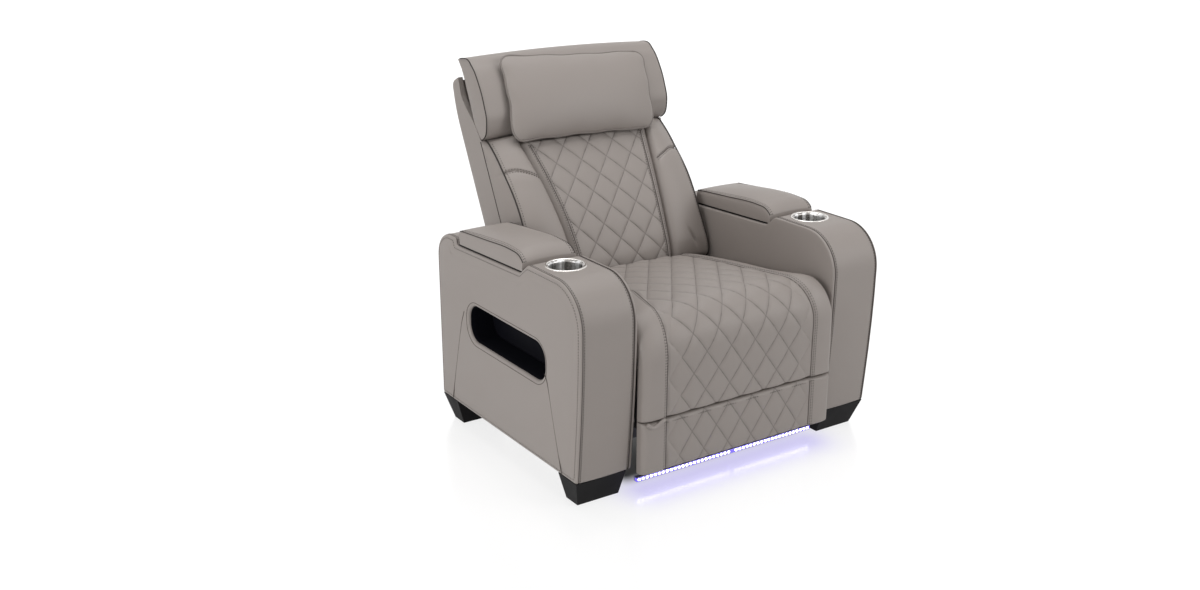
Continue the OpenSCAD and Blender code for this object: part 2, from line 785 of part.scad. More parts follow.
// Quilted seat: diamonds between plain borders, crowned, falling towards the back
seat_rows = 16;
leg_rows = 6;
roll_rows = 6;
low_rows = 5;
function seat_z(y) = let (u = (y - roll_r + front_reach) / (seat_rear_y - roll_r + front_reach))
    seat_top_z - seat_fall * pow(max(0, u), 1.6);
roll_y = roll_r - front_reach;
roll_z = seat_top_z - roll_r;

module seat_cushion() {
    cols = quilt_columns(seat_half_w, quilt_half_w);
    y0 = roll_y + skin_gap;
    top = [for (i = [0 : seat_rows]) let (y = y0 + (seat_rear_y - y0) * i / seat_rows) [for (c = cols)
        [c[0], y, seat_z(y) + seat_crown * (1 - pow(c[0] / seat_half_w, 2)) - side_drop(c[0], seat_half_w)
            - groove(c, i + leg_rows + roll_rows) - (i == seat_rows ? edge_round : 0)]]];
    base = [for (i = [0 : seat_rows]) let (y = y0 + (seat_rear_y - y0) * i / seat_rows) [for (c = cols)
        [c[0], y, seat_low_z]]];
    color(leather) on_floor() skin(top, base);
}

// Soft roll that carries the quilting from the leg rest over to the seat
roll_skin = 28;
module chaise_roll() {
    cols = quilt_columns(seat_half_w, quilt_half_w);
    function at(r, a, x) = [x, roll_y - r * cos(a), roll_z + r * sin(a)];
    outer = [for (i = [0 : roll_rows]) let (a = 90 * i / roll_rows) [for (c = cols)
        at(roll_r + seat_crown * (1 - pow(c[0] / seat_half_w, 2)) * sin(a) - side_drop(c[0], seat_half_w)
            - groove(c, i + leg_rows), a, c[0])]];
    inner = [for (i = [0 : roll_rows]) let (a = 90 * i / roll_rows) [for (c = cols)
        at(roll_r - roll_skin, a, c[0])]];
    color(leather) on_floor() skin(outer, inner);
}

// One quilted pad of the leg rest between two levels, pinched at its edges
pinch = 9;
module leg_pad(z0, z1, rows, first_row, pinch_low, pinch_top) {
    cols = quilt_columns(seat_half_w, quilt_half_w);
    front = [for (i = [0 : rows]) [for (c = cols)
        [c[0], -front_reach + side_drop(c[0], seat_half_w) + groove(c, i + first_row)
            + (i == 0 ? pinch_low : i == rows ? pinch_top : 0), z0 + (z1 - z0) * i / rows]]];
    rear = [for (i = [0 : rows]) [for (c = cols)
        [c[0], leg_pad_t - front_reach, z0 + (z1 - z0) * i / rows]]];
    color(leather) on_floor() skin(front, rear, first_row);
}

module leg_pad_upper() {
    leg_pad(crease_z + skin_gap, roll_z - skin_gap, leg_rows, 0, pinch, 0);
}

module leg_pad_lower() {
    leg_pad(leg_low_z, crease_z - skin_gap, low_rows, 1, pinch, pinch);
}

module leg_board() {
    y0 = leg_pad_t - front_reach + skin_gap;
    color(ply) on_floor() block([-leg_board_half_w, y0, leg_low_z + leg_board_t],
        [leg_board_half_w, y0 + leg_board_t, roll_z - leg_board_t]);
}

// Steel brackets that carry the leg board from its pivot, with the pin for the push link
module leg_brackets() {
    board_y = leg_pad_t - front_reach + skin_gap + leg_board_t;
    q = [leg_pivot_y - arm_dy, leg_pivot_z - arm_dz];
    p = [leg_pivot_y, leg_pivot_z];
    color(black_steel) on_floor() both_sides() {
        along_x(bracket_in_x, bracket_out_x) {
            strip(q, p, bar_w);
            translate(q) circle(r = bar_r);
            translate(p) circle(r = leg_ear_r);
            polygon([[board_y, q[1] - arm_dz], [board_y + bar_t, q[1] - arm_dz], q + [bar_r, -bar_r / 2],
                q + [bar_r / 2, bar_r * 4], [board_y, q[1] + bar_r * 5]]);
        }
        block([bracket_in_x - hanger_w, board_y, q[1] - arm_dz + bar_r],
            [bracket_in_x + cut, board_y + bar_t / 2, q[1] + bar_r * 4]);
        bar_x(link_in_x - bar_gap, bracket_in_x + cut, q[0], q[1], link_pin_r);
        bar_x(plate_in_x - bar_gap / 2, bracket_in_x + cut, p[0], p[1], leg_pin_r);
    }
}

// Torque tube with a crank near each end, each crank as long and as steep as the leg bracket's arm
module torque_tube() {
    e = [crank_y - arm_dy, crank_z - arm_dz];
    color(steel) on_floor() {
        bar_x(-plate_out_x - bar_gap / 2, plate_out_x + bar_gap / 2, crank_y, crank_z, tube_r);
        both_sides() {
            along_x(crank_in_x, crank_in_x + bar_t) {
                strip([crank_y, crank_z], e, bar_w);
                translate([crank_y, crank_z]) circle(r = tube_r + bar_gap);
                translate(e) circle(r = bar_r);
            }
            bar_x(crank_in_x, link_in_x + bar_t + bar_gap / 2, e[0], e[1], link_pin_r);
        }
    }
}

// Push links between the cranks and the leg brackets
module push_links() {
    q = [leg_pivot_y - arm_dy, leg_pivot_z - arm_dz];
    e = [crank_y - arm_dy, crank_z - arm_dz];
    color(steel) on_floor() both_sides() difference() {
        along_x(link_in_x, link_in_x + bar_t) {
            strip(q, e, bar_w);
            translate(q) circle(r = bar_r);
            translate(e) circle(r = bar_r);
        }
        bar_x(link_in_x - cut, link_in_x + bar_t + cut, e[0], e[1], link_pin_r + run_gap);
        bar_x(link_in_x - cut, link_in_x + bar_t + cut, q[0], q[1], link_pin_r + open_pin_gap);
    }
}

// Gear case round the torque tube, with its motor hanging below, fixed to the front rail
module leg_motor() {
    y0 = crank_y - tube_r - bar_t;
    color(dark_liner) on_floor() difference() {
        union() {
            block([-gear_half_w, y0, crank_z - gear_h / 2],
                [gear_half_w, seat_front_y, crank_z + tube_r + bar_t]);
            translate([0, y0 + motor_r, crank_z - gear_h / 2 - motor_len])
                cylinder(h = motor_len + cut, r = motor_r);
        }
        bar_x(-gear_half_w - cut, gear_half_w + cut, crank_y, crank_z, tube_r + run_gap);
    }
}

// Recline actuator: fixed body under the seat, and a rod whose fork pin rides in the back's lever
module recline_motor() {
    color(dark_liner) on_floor() {
        difference() {
            union() {
                translate([lever_x, recline_body_y, rod_z]) rotate([-90, 0, 0])
                    cylinder(h = recline_body_len, r = recline_body_r);
                block([lever_x - hanger_w, seat_back_rail_y - recline_body_r, rod_z],
                    [lever_x + hanger_w, seat_back_rail_y, seat_rail_z + rail_w]);
            }
            translate([lever_x, recline_body_y + recline_body_r, rod_z]) rotate([-90, 0, 0])
                cylinder(h = recline_body_len, r = rod_r + run_gap);
        }
    }
}

module recline_rod() {
    fork_y = rod_rear_y - fork_reach;
    half = lever_t / 2 + tine_gap;
    color(steel) on_floor() {
        translate([lever_x, recline_body_y + recline_body_len / 2, rod_z]) rotate([-90, 0, 0])
            cylinder(h = fork_y - recline_body_y - recline_body_len / 2 - rod_r, r = rod_r);
        difference() {
            block([lever_x - half - tine_t, fork_y - rod_r - cut, rod_z - rod_r],
                [lever_x + half + tine_t, rod_rear_y + rod_r, rod_z + rod_r]);
            block([lever_x - half, fork_y, rod_z - rod_r - cut],
                [lever_x + half, rod_rear_y + rod_r + cut, rod_z + rod_r + cut]);
        }
        bar_x(lever_x - half - cut, lever_x + half + cut, rod_rear_y, rod_z, rod_pin_r);
    }
}

// Back frame: two stiles, pivot brackets, two rails, headrest ears and the recline lever
module back_frame() {
    far = lever_drop / cos(recline_range / 2);
    color(black_steel) on_back() {
        both_sides() {
            block([frame_half_w - stile_w, frame_v, stile_low],
                [frame_half_w, frame_v + stile_deep, stile_top]);
            along_x(frame_half_w, frame_half_w + plate_t) {
                circle(r = ear_r + bar_gap);
                polygon([[frame_v, 0], [ear_r, 0], [frame_v + stile_deep, ear_r * 5], [frame_v, ear_r * 5]]);
            }
            bar_x(frame_half_w - cut, plate_out_x + bar_gap / 2, 0, 0, pivot_r);
            along_x(head_ear_x, head_ear_x + plate_t) {
                polygon([[frame_v, stile_top - frame_rail_h],
                    [frame_v + stile_deep, stile_top - frame_rail_h],
                    [frame_v + stile_deep, head_pivot_w], [frame_v, head_pivot_w + head_ear_r],
                    [head_pivot_v, head_pivot_w + head_ear_r],
                    [head_pivot_v, head_pivot_w - head_ear_r], [frame_v, head_pivot_w - head_ear_r - cut]]);
                translate([head_pivot_v, head_pivot_w]) circle(r = head_ear_r);
            }
            bar_x(head_ear_x, head_ear_x + 2 * plate_t + 2 * bar_gap, head_pivot_v, head_pivot_w, head_pin_r);
        }
        for (w = [-frame_rail_h / 2, stile_top - frame_rail_h])
            block([stile_w - frame_half_w, frame_v, w],
                [frame_half_w - stile_w, frame_v + stile_deep, w + frame_rail_h]);
        along_x(lever_x - lever_t / 2, lever_x + lever_t / 2) rotate(recline_range / 2 + lean) difference() {
            union() {
                translate([-lever_w / 2, -far]) square([lever_w, far]);
                for (d = [-far, 0]) translate([0, d]) circle(r = lever_w / 2);
            }
            translate([-rod_pin_r - rod_slot_gap, -far])
                square([2 * (rod_pin_r + rod_slot_gap), far - lever_drop]);
            for (d = [-far, -lever_drop]) translate([0, d]) circle(r = rod_pin_r + rod_slot_gap);
        }
    }
}

// Board between the stiles and the rails, behind the cushion
module back_board() {
    color(ply) on_back() block([stile_w - frame_half_w, frame_v, frame_rail_h / 2],
        [frame_half_w - stile_w, frame_v + back_board_t, stile_top - frame_rail_h]);
}

// Depth of a round corner of radius r at a place d along it, 0 before it starts
function corner_drop(r, d) = d > 0 ? r - sqrt(pow(r, 2) - pow(min(d, r), 2)) : 0;

// How far the shell's rear stands back at a height and a place across
function shell_rear(x, w) = shell_v + shell_crown * (1 - pow(x / shell_half_w, 2))
    - corner_drop(shell_bend_r, min(w, shell_corner_w) - shell_bend_w)
    - corner_drop(shell_corner_r, w - shell_corner_w);
function shell_side_end(w, t) = shell_rear(shell_half_w, w) - t - shell_corner_in;
function shell_rim_share(w) = lookup((w - shell_low) / (shell_top - shell_low), rim_shares);
function shell_rim(w) = min(shell_side_end(w, shell_t + shell_edge),
    shell_rim_v + (shell_v - shell_crown / 2 - shell_rim_v) * shell_rim_share(w));

// Shell behind the back: crowned rear and two sides, open at its top and front
module back_shell() {
    heights = concat(
        [for (k = [0 : 5]) shell_low + (shell_bend_w - shell_low) * k / 5],
        [for (k = [1 : 3]) shell_bend_w + (shell_corner_w - shell_bend_w) * k / 3],
        [for (a = shell_corner_turns) shell_corner_w + shell_corner_r * sin(a)]);
    function side(w, t, u) = let (v = shell_rim(w)) v + (shell_side_end(w, t) - v) * u;
    function path(w, t) = concat(
        [for (u = shell_side_shares) [shell_half_w - t, side(w, t, u), w]],
        [for (s = shell_across_shares) [(shell_half_w - t) * s,
            shell_rear(shell_half_w * s, w) - t - (abs(s) == 1 ? shell_corner_in : 0), w]],
        [for (k = [len(shell_side_shares) - 1 : -1 : 0])
            [t - shell_half_w, side(w, t, shell_side_shares[k]), w]]);
    color(leather) on_back() skin([for (w = heights) path(w, 0)], [for (w = heights) path(w, shell_t)]);
}

// Lower flap that closes the back behind the seat
module back_flap() {
    heights = [flap_low, (flap_low + shell_low) / 2, shell_low - skin_gap];
    function row(w, t) = [for (s = shell_across_shares)
        [flap_half_w * s, shell_rear(flap_half_w * s, w) - t, w]];
    color(leather) on_back() skin([for (w = heights) row(w, 0)], [for (w = heights) row(w, flap_t)]);
}

// Half width of the quilted field and of the whole centre cushion at a height
function back_share(w) = max(0, (w - back_low) / (back_top - back_low));
function field_half(w) = quilt_low_half + (quilt_top_half - quilt_low_half) * pow(back_share(w), 1.8);
function cushion_half(w) = field_half(w) + cushion_border * (0.7 + 0.3 * back_share(w));

back_rows = 14;
back_cols = 8;
module back_cushion() {
    cols = concat([-1, -1 / 2], [for (a = [-back_cols : back_cols]) [a]], [1 / 2, 1]);
    function front_w(i) = back_low + (back_top + back_lip - back_low) * i / back_rows;
    function x_at(c, w) = is_list(c) ? field_half(w) * c[0] / back_cols
        : sign(c) * (field_half(w) + (cushion_half(w) - field_half(w)) * abs(c));
    function deep(i) = back_deep - (back_deep * 0.36) * pow(i / back_rows, 1.5)
        - (i == 0 ? edge_round : i == back_rows ? edge_round * 0.8 : 0);
    front = [for (i = [0 : back_rows]) let (w = front_w(i)) [for (c = cols)
        [x_at(c, min(w, back_top)), cushion_v - deep(i)
            + (is_list(c) ? quilt_depth * (1 - quilt(c[0], i)) : abs(c) == 1 ? edge_round / 2 : 0), w]]];
    rear = [for (i = [0 : back_rows]) let (w = back_low + (back_top - back_low) * i / back_rows)
        [for (c = cols) [x_at(c, w), cushion_v, w]]];
    color(leather) on_back() skin(front, rear);
}

// Side wing: a plain bolster beside the centre cushion, with its outer edge on the shell's side
wing_rows = 14;
module wing(side) {
    cols = wing_col_shares;
    function deep(u, s) = wing_deep * lookup(u, wing_shares)
        + wing_bulge * sin(180 * pow(s, 0.8)) * (u == 0 || u == 1 ? 0 : 1)
        - (s == 0 ? edge_round * (1 - u) : 0);
    function x_at(w, s) = let (x0 = cushion_half(w) + skin_gap) x0 + (seat_half_w - x0) * s;
    heights = [for (i = [0 : wing_rows]) back_low + wing_h * i / wing_rows];
    front = [for (w = heights) let (u = (w - back_low) / wing_h)
        [for (s = cols) [x_at(w, s), cushion_v - deep(u, s), w]]];
    rear = [for (w = heights) [for (s = cols) [x_at(w, s), cushion_v, w]]];
    color(leather) on_back() on_side(side) skin(front, rear);
}

// Headrest actuator on the back board, and its rod
head_pin_v = head_pivot_v + head_lever;
head_pin_w = head_pivot_w - head_lever * tan(head_range / 2);
head_body_drop = 246;
head_body_low = head_pivot_w - head_body_drop;
head_body_len = 150;
head_body_r = 20;
module head_motor() {
    color(dark_liner) on_back() difference() {
        union() {
            translate([0, head_pin_v, head_body_low]) cylinder(h = head_body_len, r = head_body_r);
            block([-head_body_r, frame_v + back_board_t, head_body_low],
                [head_body_r, head_pin_v, head_body_low + head_body_r]);
        }
        translate([0, head_pin_v, head_body_low + head_body_r])
            cylinder(h = head_body_len, r = link_pin_r + run_gap);
    }
}

module head_rod() {
    half = lever_t / 2 + bar_gap;
    low = head_pin_w - head_lever_w;
    color(steel) on_back() {
        translate([0, head_pin_v, head_body_low + head_body_len / 2])
            cylinder(h = low - head_body_low - head_body_len / 2 - link_pin_r, r = link_pin_r);
        difference() {
            block([-half - tine_t, head_pin_v - link_pin_r, low - link_pin_r - cut],
                [half + tine_t, head_pin_v + link_pin_r, head_pin_w + link_pin_r]);
            block([-half, head_pin_v - link_pin_r - cut, low],
                [half, head_pin_v + link_pin_r + cut, head_pin_w + link_pin_r + cut]);
        }
        bar_x(-half - cut, half + cut, head_pin_v, head_pin_w, head_pin_r / 2);
    }
}

// Headrest board with its hinge ears and the slotted lever of the actuator
module head_frame() {
    top = head_low + head_h;
    far = head_lever / cos(head_range / 2);
    r = head_pin_r / 2 + rod_slot_gap / 2;
    ear_x0 = head_ear_x + plate_t + bar_gap;
    board_v0 = head_v + skin_gap;
    board_v1 = board_v0 + head_board_t;
    color(black_steel) on_back() {
        block([head_board_in - seat_half_w, board_v0, head_low + head_board_in],
            [seat_half_w - head_board_in, board_v1, top]);
        both_sides() along_x(ear_x0, ear_x0 + plate_t) difference() {
            union() {
                translate([head_pivot_v, head_pivot_w]) circle(r = head_ear_r);
                polygon([[head_pivot_v, head_pivot_w - head_ear_r * 0.6],
                    [board_v1, head_pivot_w - head_ear_r * 0.6],
                    [board_v1, head_low + head_ear_r], [board_v0, head_low + head_ear_r],
                    [board_v0, head_low - cut], [head_pivot_v, head_low - cut]]);
            }
            translate([head_pivot_v, head_pivot_w]) circle(r = head_pin_r + run_gap);
        }
        along_x(-lever_t / 2, lever_t / 2) {
            translate([head_pivot_v, head_pivot_w]) rotate(-head_range / 2) difference() {
                union() {
                    translate([head_lever / 3, -head_lever_w / 2])
                        square([far - head_lever / 3, head_lever_w]);
                    translate([far, 0]) circle(r = head_lever_w / 2);
                }
                translate([head_lever, -r]) square([far - head_lever, 2 * r]);
                for (d = [head_lever, far]) translate([d, 0]) circle(r = r);
            }
            polygon([[board_v0, head_pivot_w - head_lever_w],
                [board_v1 + head_lever_w / 2, head_pivot_w - head_lever_w],
                [board_v1, head_low + head_ear_r], [board_v0, head_low + head_ear_r]]);
        }
    }
}

// Headrest pad: a lens in side view
head_rows = 12;
head_deep = 63;
module head_pad() {
    cols = head_col_shares;
    front = [for (i = [0 : head_rows]) let (u = i / head_rows, deep = head_deep * lookup(u, head_shares))
        [for (s = cols) [seat_half_w * s, head_v - deep * (abs(s) == 1 ? 0.94 : 1), head_low + head_h * u]]];
    rear = [for (i = [0 : head_rows])
        [for (s = cols) [seat_half_w * s, head_v, head_low + head_h * i / head_rows]]];
    color(leather) on_back() skin(front, rear);
}

// Loose pillow, pinched along its welt
module head_pillow() {
    function puff(s, t) = pow(max(0, (1 - pow(abs(s), 4)) * (1 - pow(abs(t), 4))), 0.5);
    function edge(s, t) = [pillow_half_w * s * (1 - 0.03 * (1 - pow(t, 2)) * pow(abs(s), 4)), 0,
        pillow_low + pillow_h / 2 * (1 + t * (1 - 0.05 * (1 - pow(s, 2)) * pow(abs(t), 4)))];
    function grid(deep, dir) = [for (t = pillow_shares) [for (s = pillow_shares)
        edge(s, t) + [0, pillow_mid_v + dir * (deep * puff(s, t) + cut), 0]]];
    color(leather) on_back() skin(grid(pillow_front, -1), grid(pillow_rear, 1));
}

arm_outer_panel(1);  // arm_outer_panel_left
arm_outer_panel(-1);  // arm_outer_panel_right
arm_inner_panel(1);  // arm_inner_panel_left
arm_inner_panel(-1);  // arm_inner_panel_right
arm_band(1);  // arm_band_left
arm_band(-1);  // arm_band_right
arm_bin(1);  // arm_bin_left
arm_bin(-1);  // arm_bin_right
cup_holder(1);  // cup_holder_left
cup_holder(-1);  // cup_holder_right
pocket_liner(1);  // pocket_liner_left
pocket_liner(-1);  // pocket_liner_right
lid_pins();
foot(1, true);  // foot_front_left
foot(-1, true);  // foot_front_right
foot(1, false);  // foot_rear_left
foot(-1, false);  // foot_rear_right
base_rail(1);  // base_rail_left
base_rail(-1);  // base_rail_right
cross_tubes();
led_bar();
led_strip();
power_box();
switch_panel();
push_button(0);  // recline_button
push_button(1);  // leg_button
push_button(2);  // head_button
push_button(3);  // light_button
lid_board(1);  // lid_board_left
lid_board(-1);  // lid_board_right
lid_pad(1);  // lid_pad_left
lid_pad(-1);  // lid_pad_right
seat_plate(1);  // seat_plate_left
seat_plate(-1);  // seat_plate_right
seat_rails();
seat_springs();
glide_shoes();
seat_cushion();
chaise_roll();
leg_motor();
recline_motor();
recline_rod();
torque_tube();
push_links();
leg_board();
leg_brackets();
leg_pad_upper();
leg_pad_lower();
back_frame();
back_board();
back_shell();
back_flap();
back_cushion();
wing(1);  // wing_left
wing(-1);  // wing_right
head_motor();
head_rod();
head_frame();
head_pad();
head_pillow();
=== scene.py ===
"""Looks of a powered cinema recliner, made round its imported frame.

Lengths are millimetres in the plan that the part's source uses: x towards the sitter's left, y back from the
front plane of the arms, z up. The class Plan turns them into the frame's metres.
"""

import logging
from dataclasses import dataclass, replace
from enum import Enum

import bpy
import numpy as np
from mathutils import Euler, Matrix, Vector


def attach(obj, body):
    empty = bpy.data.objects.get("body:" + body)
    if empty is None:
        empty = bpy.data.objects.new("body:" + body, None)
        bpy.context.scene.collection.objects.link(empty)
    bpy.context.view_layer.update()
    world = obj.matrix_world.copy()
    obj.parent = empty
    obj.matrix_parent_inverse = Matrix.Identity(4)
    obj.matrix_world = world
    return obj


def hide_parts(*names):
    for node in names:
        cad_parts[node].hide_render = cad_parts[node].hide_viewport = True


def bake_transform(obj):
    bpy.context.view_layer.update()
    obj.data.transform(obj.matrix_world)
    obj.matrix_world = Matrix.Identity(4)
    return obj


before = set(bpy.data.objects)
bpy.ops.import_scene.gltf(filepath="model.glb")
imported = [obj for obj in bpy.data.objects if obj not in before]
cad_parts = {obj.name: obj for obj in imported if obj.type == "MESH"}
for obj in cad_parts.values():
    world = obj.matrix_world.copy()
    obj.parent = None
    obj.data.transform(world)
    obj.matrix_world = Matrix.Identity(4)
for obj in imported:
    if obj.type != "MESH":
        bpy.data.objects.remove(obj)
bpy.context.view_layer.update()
log = logging.getLogger("recliner")
Array = np.ndarray
Shape = tuple[Array, list[list[int]]]


# Plan and curves


@dataclass(frozen=True)
class Plan:
    """Where the part's own measures lie in the frame."""

    mid_y: float = 479.91365
    pivot_y: float = 600.0
    pivot_z: float = 385.0
    lean: float = np.radians(26.5)

    def floor(self, x: Array, y: Array, z: Array) -> Array:
        """Metres in the frame for millimetres in the plan.

        Args:
            x, y, z: arrays of one shape, or numbers that spread to it.

        Returns:
            The points, with their three numbers along the last axis.
        """
        x, y, z = np.broadcast_arrays(x, y, z)
        return np.stack([x, y - self.mid_y, z], -1) / 1000

    def back(self, x: Array, v: Array, w: Array) -> Array:
        """Metres in the frame for the leaning back: v rearwards and w up from the recline pivot.

        The frame's y is pivot + v cos(lean) + w sin(lean), and z is pivot - v sin(lean) + w cos(lean).

        Args:
            x, v, w: arrays of one shape, or numbers that spread to it.

        Returns:
            The points, with their three numbers along the last axis.
        """
        cos, sin = np.cos(self.lean), np.sin(self.lean)
        return self.floor(x, self.pivot_y + v * cos + w * sin, self.pivot_z - v * sin + w * cos)

    def leaning(self, points: Array) -> tuple[Array, Array]:
        """The leaning back's v and w in millimetres for points in the frame's metres."""
        y, z = points[..., 1] * 1000 + self.mid_y - self.pivot_y, points[..., 2] * 1000 - self.pivot_z
        cos, sin = np.cos(self.lean), np.sin(self.lean)
        return y * cos - z * sin, y * sin + z * cos


PLAN = Plan()


def curve(at: Array, places: list[float], values: list[float]) -> Array:
    """A smooth curve through given values: cubics whose slopes are the mean of their neighbours' slopes.

    Args:
        at: where the curve is read.
        places: rising places of the given values.
        values: the values there.

    Returns:
        The curve's value at each place, level beyond the ends.
    """
    p, f = np.asarray(places, float), np.asarray(values, float)
    slope = np.gradient(f, p)
    x = np.clip(at, p[0], p[-1])
    k = np.clip(np.searchsorted(p, x, side="right") - 1, 0, len(p) - 2)
    h = p[k + 1] - p[k]
    t = (x - p[k]) / h
    return (f[k] * (1 + 2 * t) * (1 - t) ** 2 + f[k + 1] * t * t * (3 - 2 * t)
            + h * (slope[k] * t * (1 - t) ** 2 + slope[k + 1] * t * t * (t - 1)))


def rounded(count: int, half: float, depth: float, radius: float) -> tuple[Array, Array]:
    """Half of a rounded slab's section, mirrored: flat middle, quarter circle, straight side.

    The place across runs to half, less radius times one minus the sine along the quarter circle, and the
    share of the depth falls by the cosine there, then straight to nothing down the side.

    Args:
        count: steps over the flat middle.
        half: half of the slab's width.
        depth: its depth, for the size of the quarter circle in shares.
        radius: radius of the edge.

    Returns:
        Places across, from -half to half, and the share of the depth at each.
    """
    turn = np.linspace(0, np.pi / 2, 8)[1:]
    side = np.linspace(0, 1, 5)[1:]
    low = 1 - radius / depth
    across = np.concatenate([half - radius + radius * np.sin(turn), np.full(len(side), half)])
    share = np.concatenate([low + (1 - low) * np.cos(turn), low * (1 - side)])
    middle = np.linspace(-(half - radius), half - radius, count)
    return (np.concatenate([-across[::-1], middle, across]),
            np.concatenate([share[::-1], np.ones(count), share]))


def ends(low: float, top: float, low_r: float, top_r: float, count: int) -> tuple[Array, Array]:
    """Places from low to top with a quarter circle at each end.

    Over each end's radius the share is the sine, and the place one minus the cosine, of a quarter turn.

    Args:
        low, top: the two ends.
        low_r, top_r: radius of each end.
        count: steps between the two quarter circles.

    Returns:
        The places and the share of the full depth at each.
    """
    turn = np.linspace(0, np.pi / 2, 10)[:-1]
    places = np.concatenate([low + low_r * (1 - np.cos(turn)), np.linspace(low + low_r, top - top_r, count),
                             (top - top_r * (1 - np.cos(turn)))[::-1]])
    return places, np.concatenate([np.sin(turn), np.ones(count), np.sin(turn)[::-1]])


def arc(middle: tuple[float, float], radius: float, start: float, stop: float, count: int) -> Array:
    """Points of a circle's arc in a plane, from one angle to another in radians.

    Args:
        middle: the circle's middle.
        radius: its radius.
        start, stop: angles of the first and the last point.
        count: how many points.

    Returns:
        The points, with their two numbers along the last axis.
    """
    turn = np.linspace(start, stop, count)
    return np.stack([middle[0] + radius * np.cos(turn), middle[1] + radius * np.sin(turn)], -1)


def bell(x: Array, width: float) -> Array:
    """A bell curve of height 1: e to the minus square of x over the width."""
    return np.exp(-(np.asarray(x) / width) ** 2)


def smoothed_loop(points: Array, sigma: float) -> Array:
    """A closed loop of points smoothed by a bell of sigma samples, through a product of Fourier terms.

    Args:
        points: the loop, with its samples along the first axis.
        sigma: width of the bell in samples.

    Returns:
        The smoothed loop.
    """
    waves = np.fft.rfftfreq(len(points))
    keep = np.exp(-2 * (np.pi * sigma * waves) ** 2)
    return np.fft.irfft(np.fft.rfft(points, axis=0) * keep[:, None], len(points), axis=0)


def resampled(path: Array, step: float, closed: bool = False) -> Array:
    """A path cut again into steps of equal length.

    Args:
        path: points along the first axis.
        step: length wanted.
        closed: whether the path returns to its start.

    Returns:
        The new points.
    """
    p = np.vstack([path, path[:1]]) if closed else np.asarray(path)
    run = np.concatenate([[0], np.cumsum(np.linalg.norm(np.diff(p, axis=0), axis=1))])
    count = max(2, int(round(run[-1] / step)))
    at = np.linspace(0, run[-1], count, endpoint=not closed)
    return np.stack([np.interp(at, run, p[:, k]) for k in range(p.shape[1])], -1)


# Meshes


def cells(rows: int, cols: int, round_rows: bool = False, round_cols: bool = False) -> list[list[int]]:
    """Faces of a grid whose points are numbered row by row.

    Args:
        rows, cols: size of the grid.
        round_rows, round_cols: whether its last row or column joins its first.

    Returns:
        Faces of four corners.
    """
    i, j = np.meshgrid(np.arange(rows - (not round_rows)), np.arange(cols - (not round_cols)), indexing="ij")
    i2, j2 = (i + 1) % rows, (j + 1) % cols
    return np.stack([i * cols + j, i * cols + j2, i2 * cols + j2, i2 * cols + j], -1).reshape(-1, 4).tolist()


def ring_solid(loops: Array) -> Shape:
    """A solid swept by a closed section: rows of closed loops whose last row joins the first."""
    return loops.reshape(-1, 3), cells(*loops.shape[:2], True, True)


def capped_solid(loops: Array) -> Shape:
    """A solid of stacked closed loops, with a flat face over its first loop and its last."""
    rows, cols = loops.shape[:2]
    caps = [list(range(cols))[::-1], list(range((rows - 1) * cols, rows * cols))]
    return loops.reshape(-1, 3), cells(rows, cols, False, True) + caps


def pillow_solid(front: Array, rear: Array) -> Shape:
    """A solid between two grids of one size that share their outer ring of points."""
    rows, cols = front.shape[:2]
    size = rows * cols
    twin = np.arange(size, 2 * size).reshape(rows, cols)
    twin[0], twin[-1] = np.arange(cols), np.arange(size - cols, size)
    twin[:, 0], twin[:, -1] = np.arange(rows) * cols, np.arange(rows) * cols + cols - 1
    faces = np.array(cells(rows, cols))
    return (np.concatenate([front.reshape(-1, 3), rear.reshape(-1, 3)]),
            faces.tolist() + twin.reshape(-1)[faces][:, ::-1].tolist())


def frames(path: Array, closed: bool) -> tuple[Array, Array, Array]:
    """Tangent and two normals along a path, from one fixed direction across the path's own spread.

    Args:
        path: points along the first axis.
        closed: whether the path returns to its start.

    Returns:
        Unit tangents, side normals and upper normals.
    """
    ahead = np.roll(path, -1, 0) - np.roll(path, 1, 0)
    if not closed:
        ahead[0], ahead[-1] = path[1] - path[0], path[-1] - path[-2]
    tangent = ahead / np.maximum(np.linalg.norm(ahead, axis=1, keepdims=True), 1e-12)
    spread = np.linalg.svd(path - path.mean(0), full_matrices=False)[2]
    least = spread[-1]
    side = np.cross(tangent, least)
    length = np.linalg.norm(side, axis=1, keepdims=True)
    side = np.where(length > 1e-3, side / np.maximum(length, 1e-12), spread[1])
    return tangent, side, np.cross(side, tangent)


def tube(path: Array, radius: float, closed: bool = False, sides: int = 8) -> Shape:
    """A round cord: a circle of the radius carried along the path, across its tangent.

    Args:
        path: points in metres.
        radius: radius in metres.
        closed: whether the path returns to its start.
        sides: corners of the circle.

    Returns:
        The cord's points and faces.
    """
    _, side, up = frames(path, closed)
    turn = np.linspace(0, 2 * np.pi, sides, endpoint=False)[None, :, None]
    loops = path[:, None] + radius * (np.cos(turn) * side[:, None] + np.sin(turn) * up[:, None])
    return ring_solid(loops) if closed else capped_solid(loops)


def lathe(profile: Array, turns: int = 72) -> Shape:
    """A turned solid: a closed profile of radius and height carried round the vertical axis."""
    turn = np.linspace(0, 2 * np.pi, turns, endpoint=False)[:, None]
    loops = np.stack([profile[:, 0] * np.cos(turn), profile[:, 0] * np.sin(turn),
                      np.broadcast_to(profile[:, 1], (turns, len(profile)))], -1)
    return ring_solid(loops)


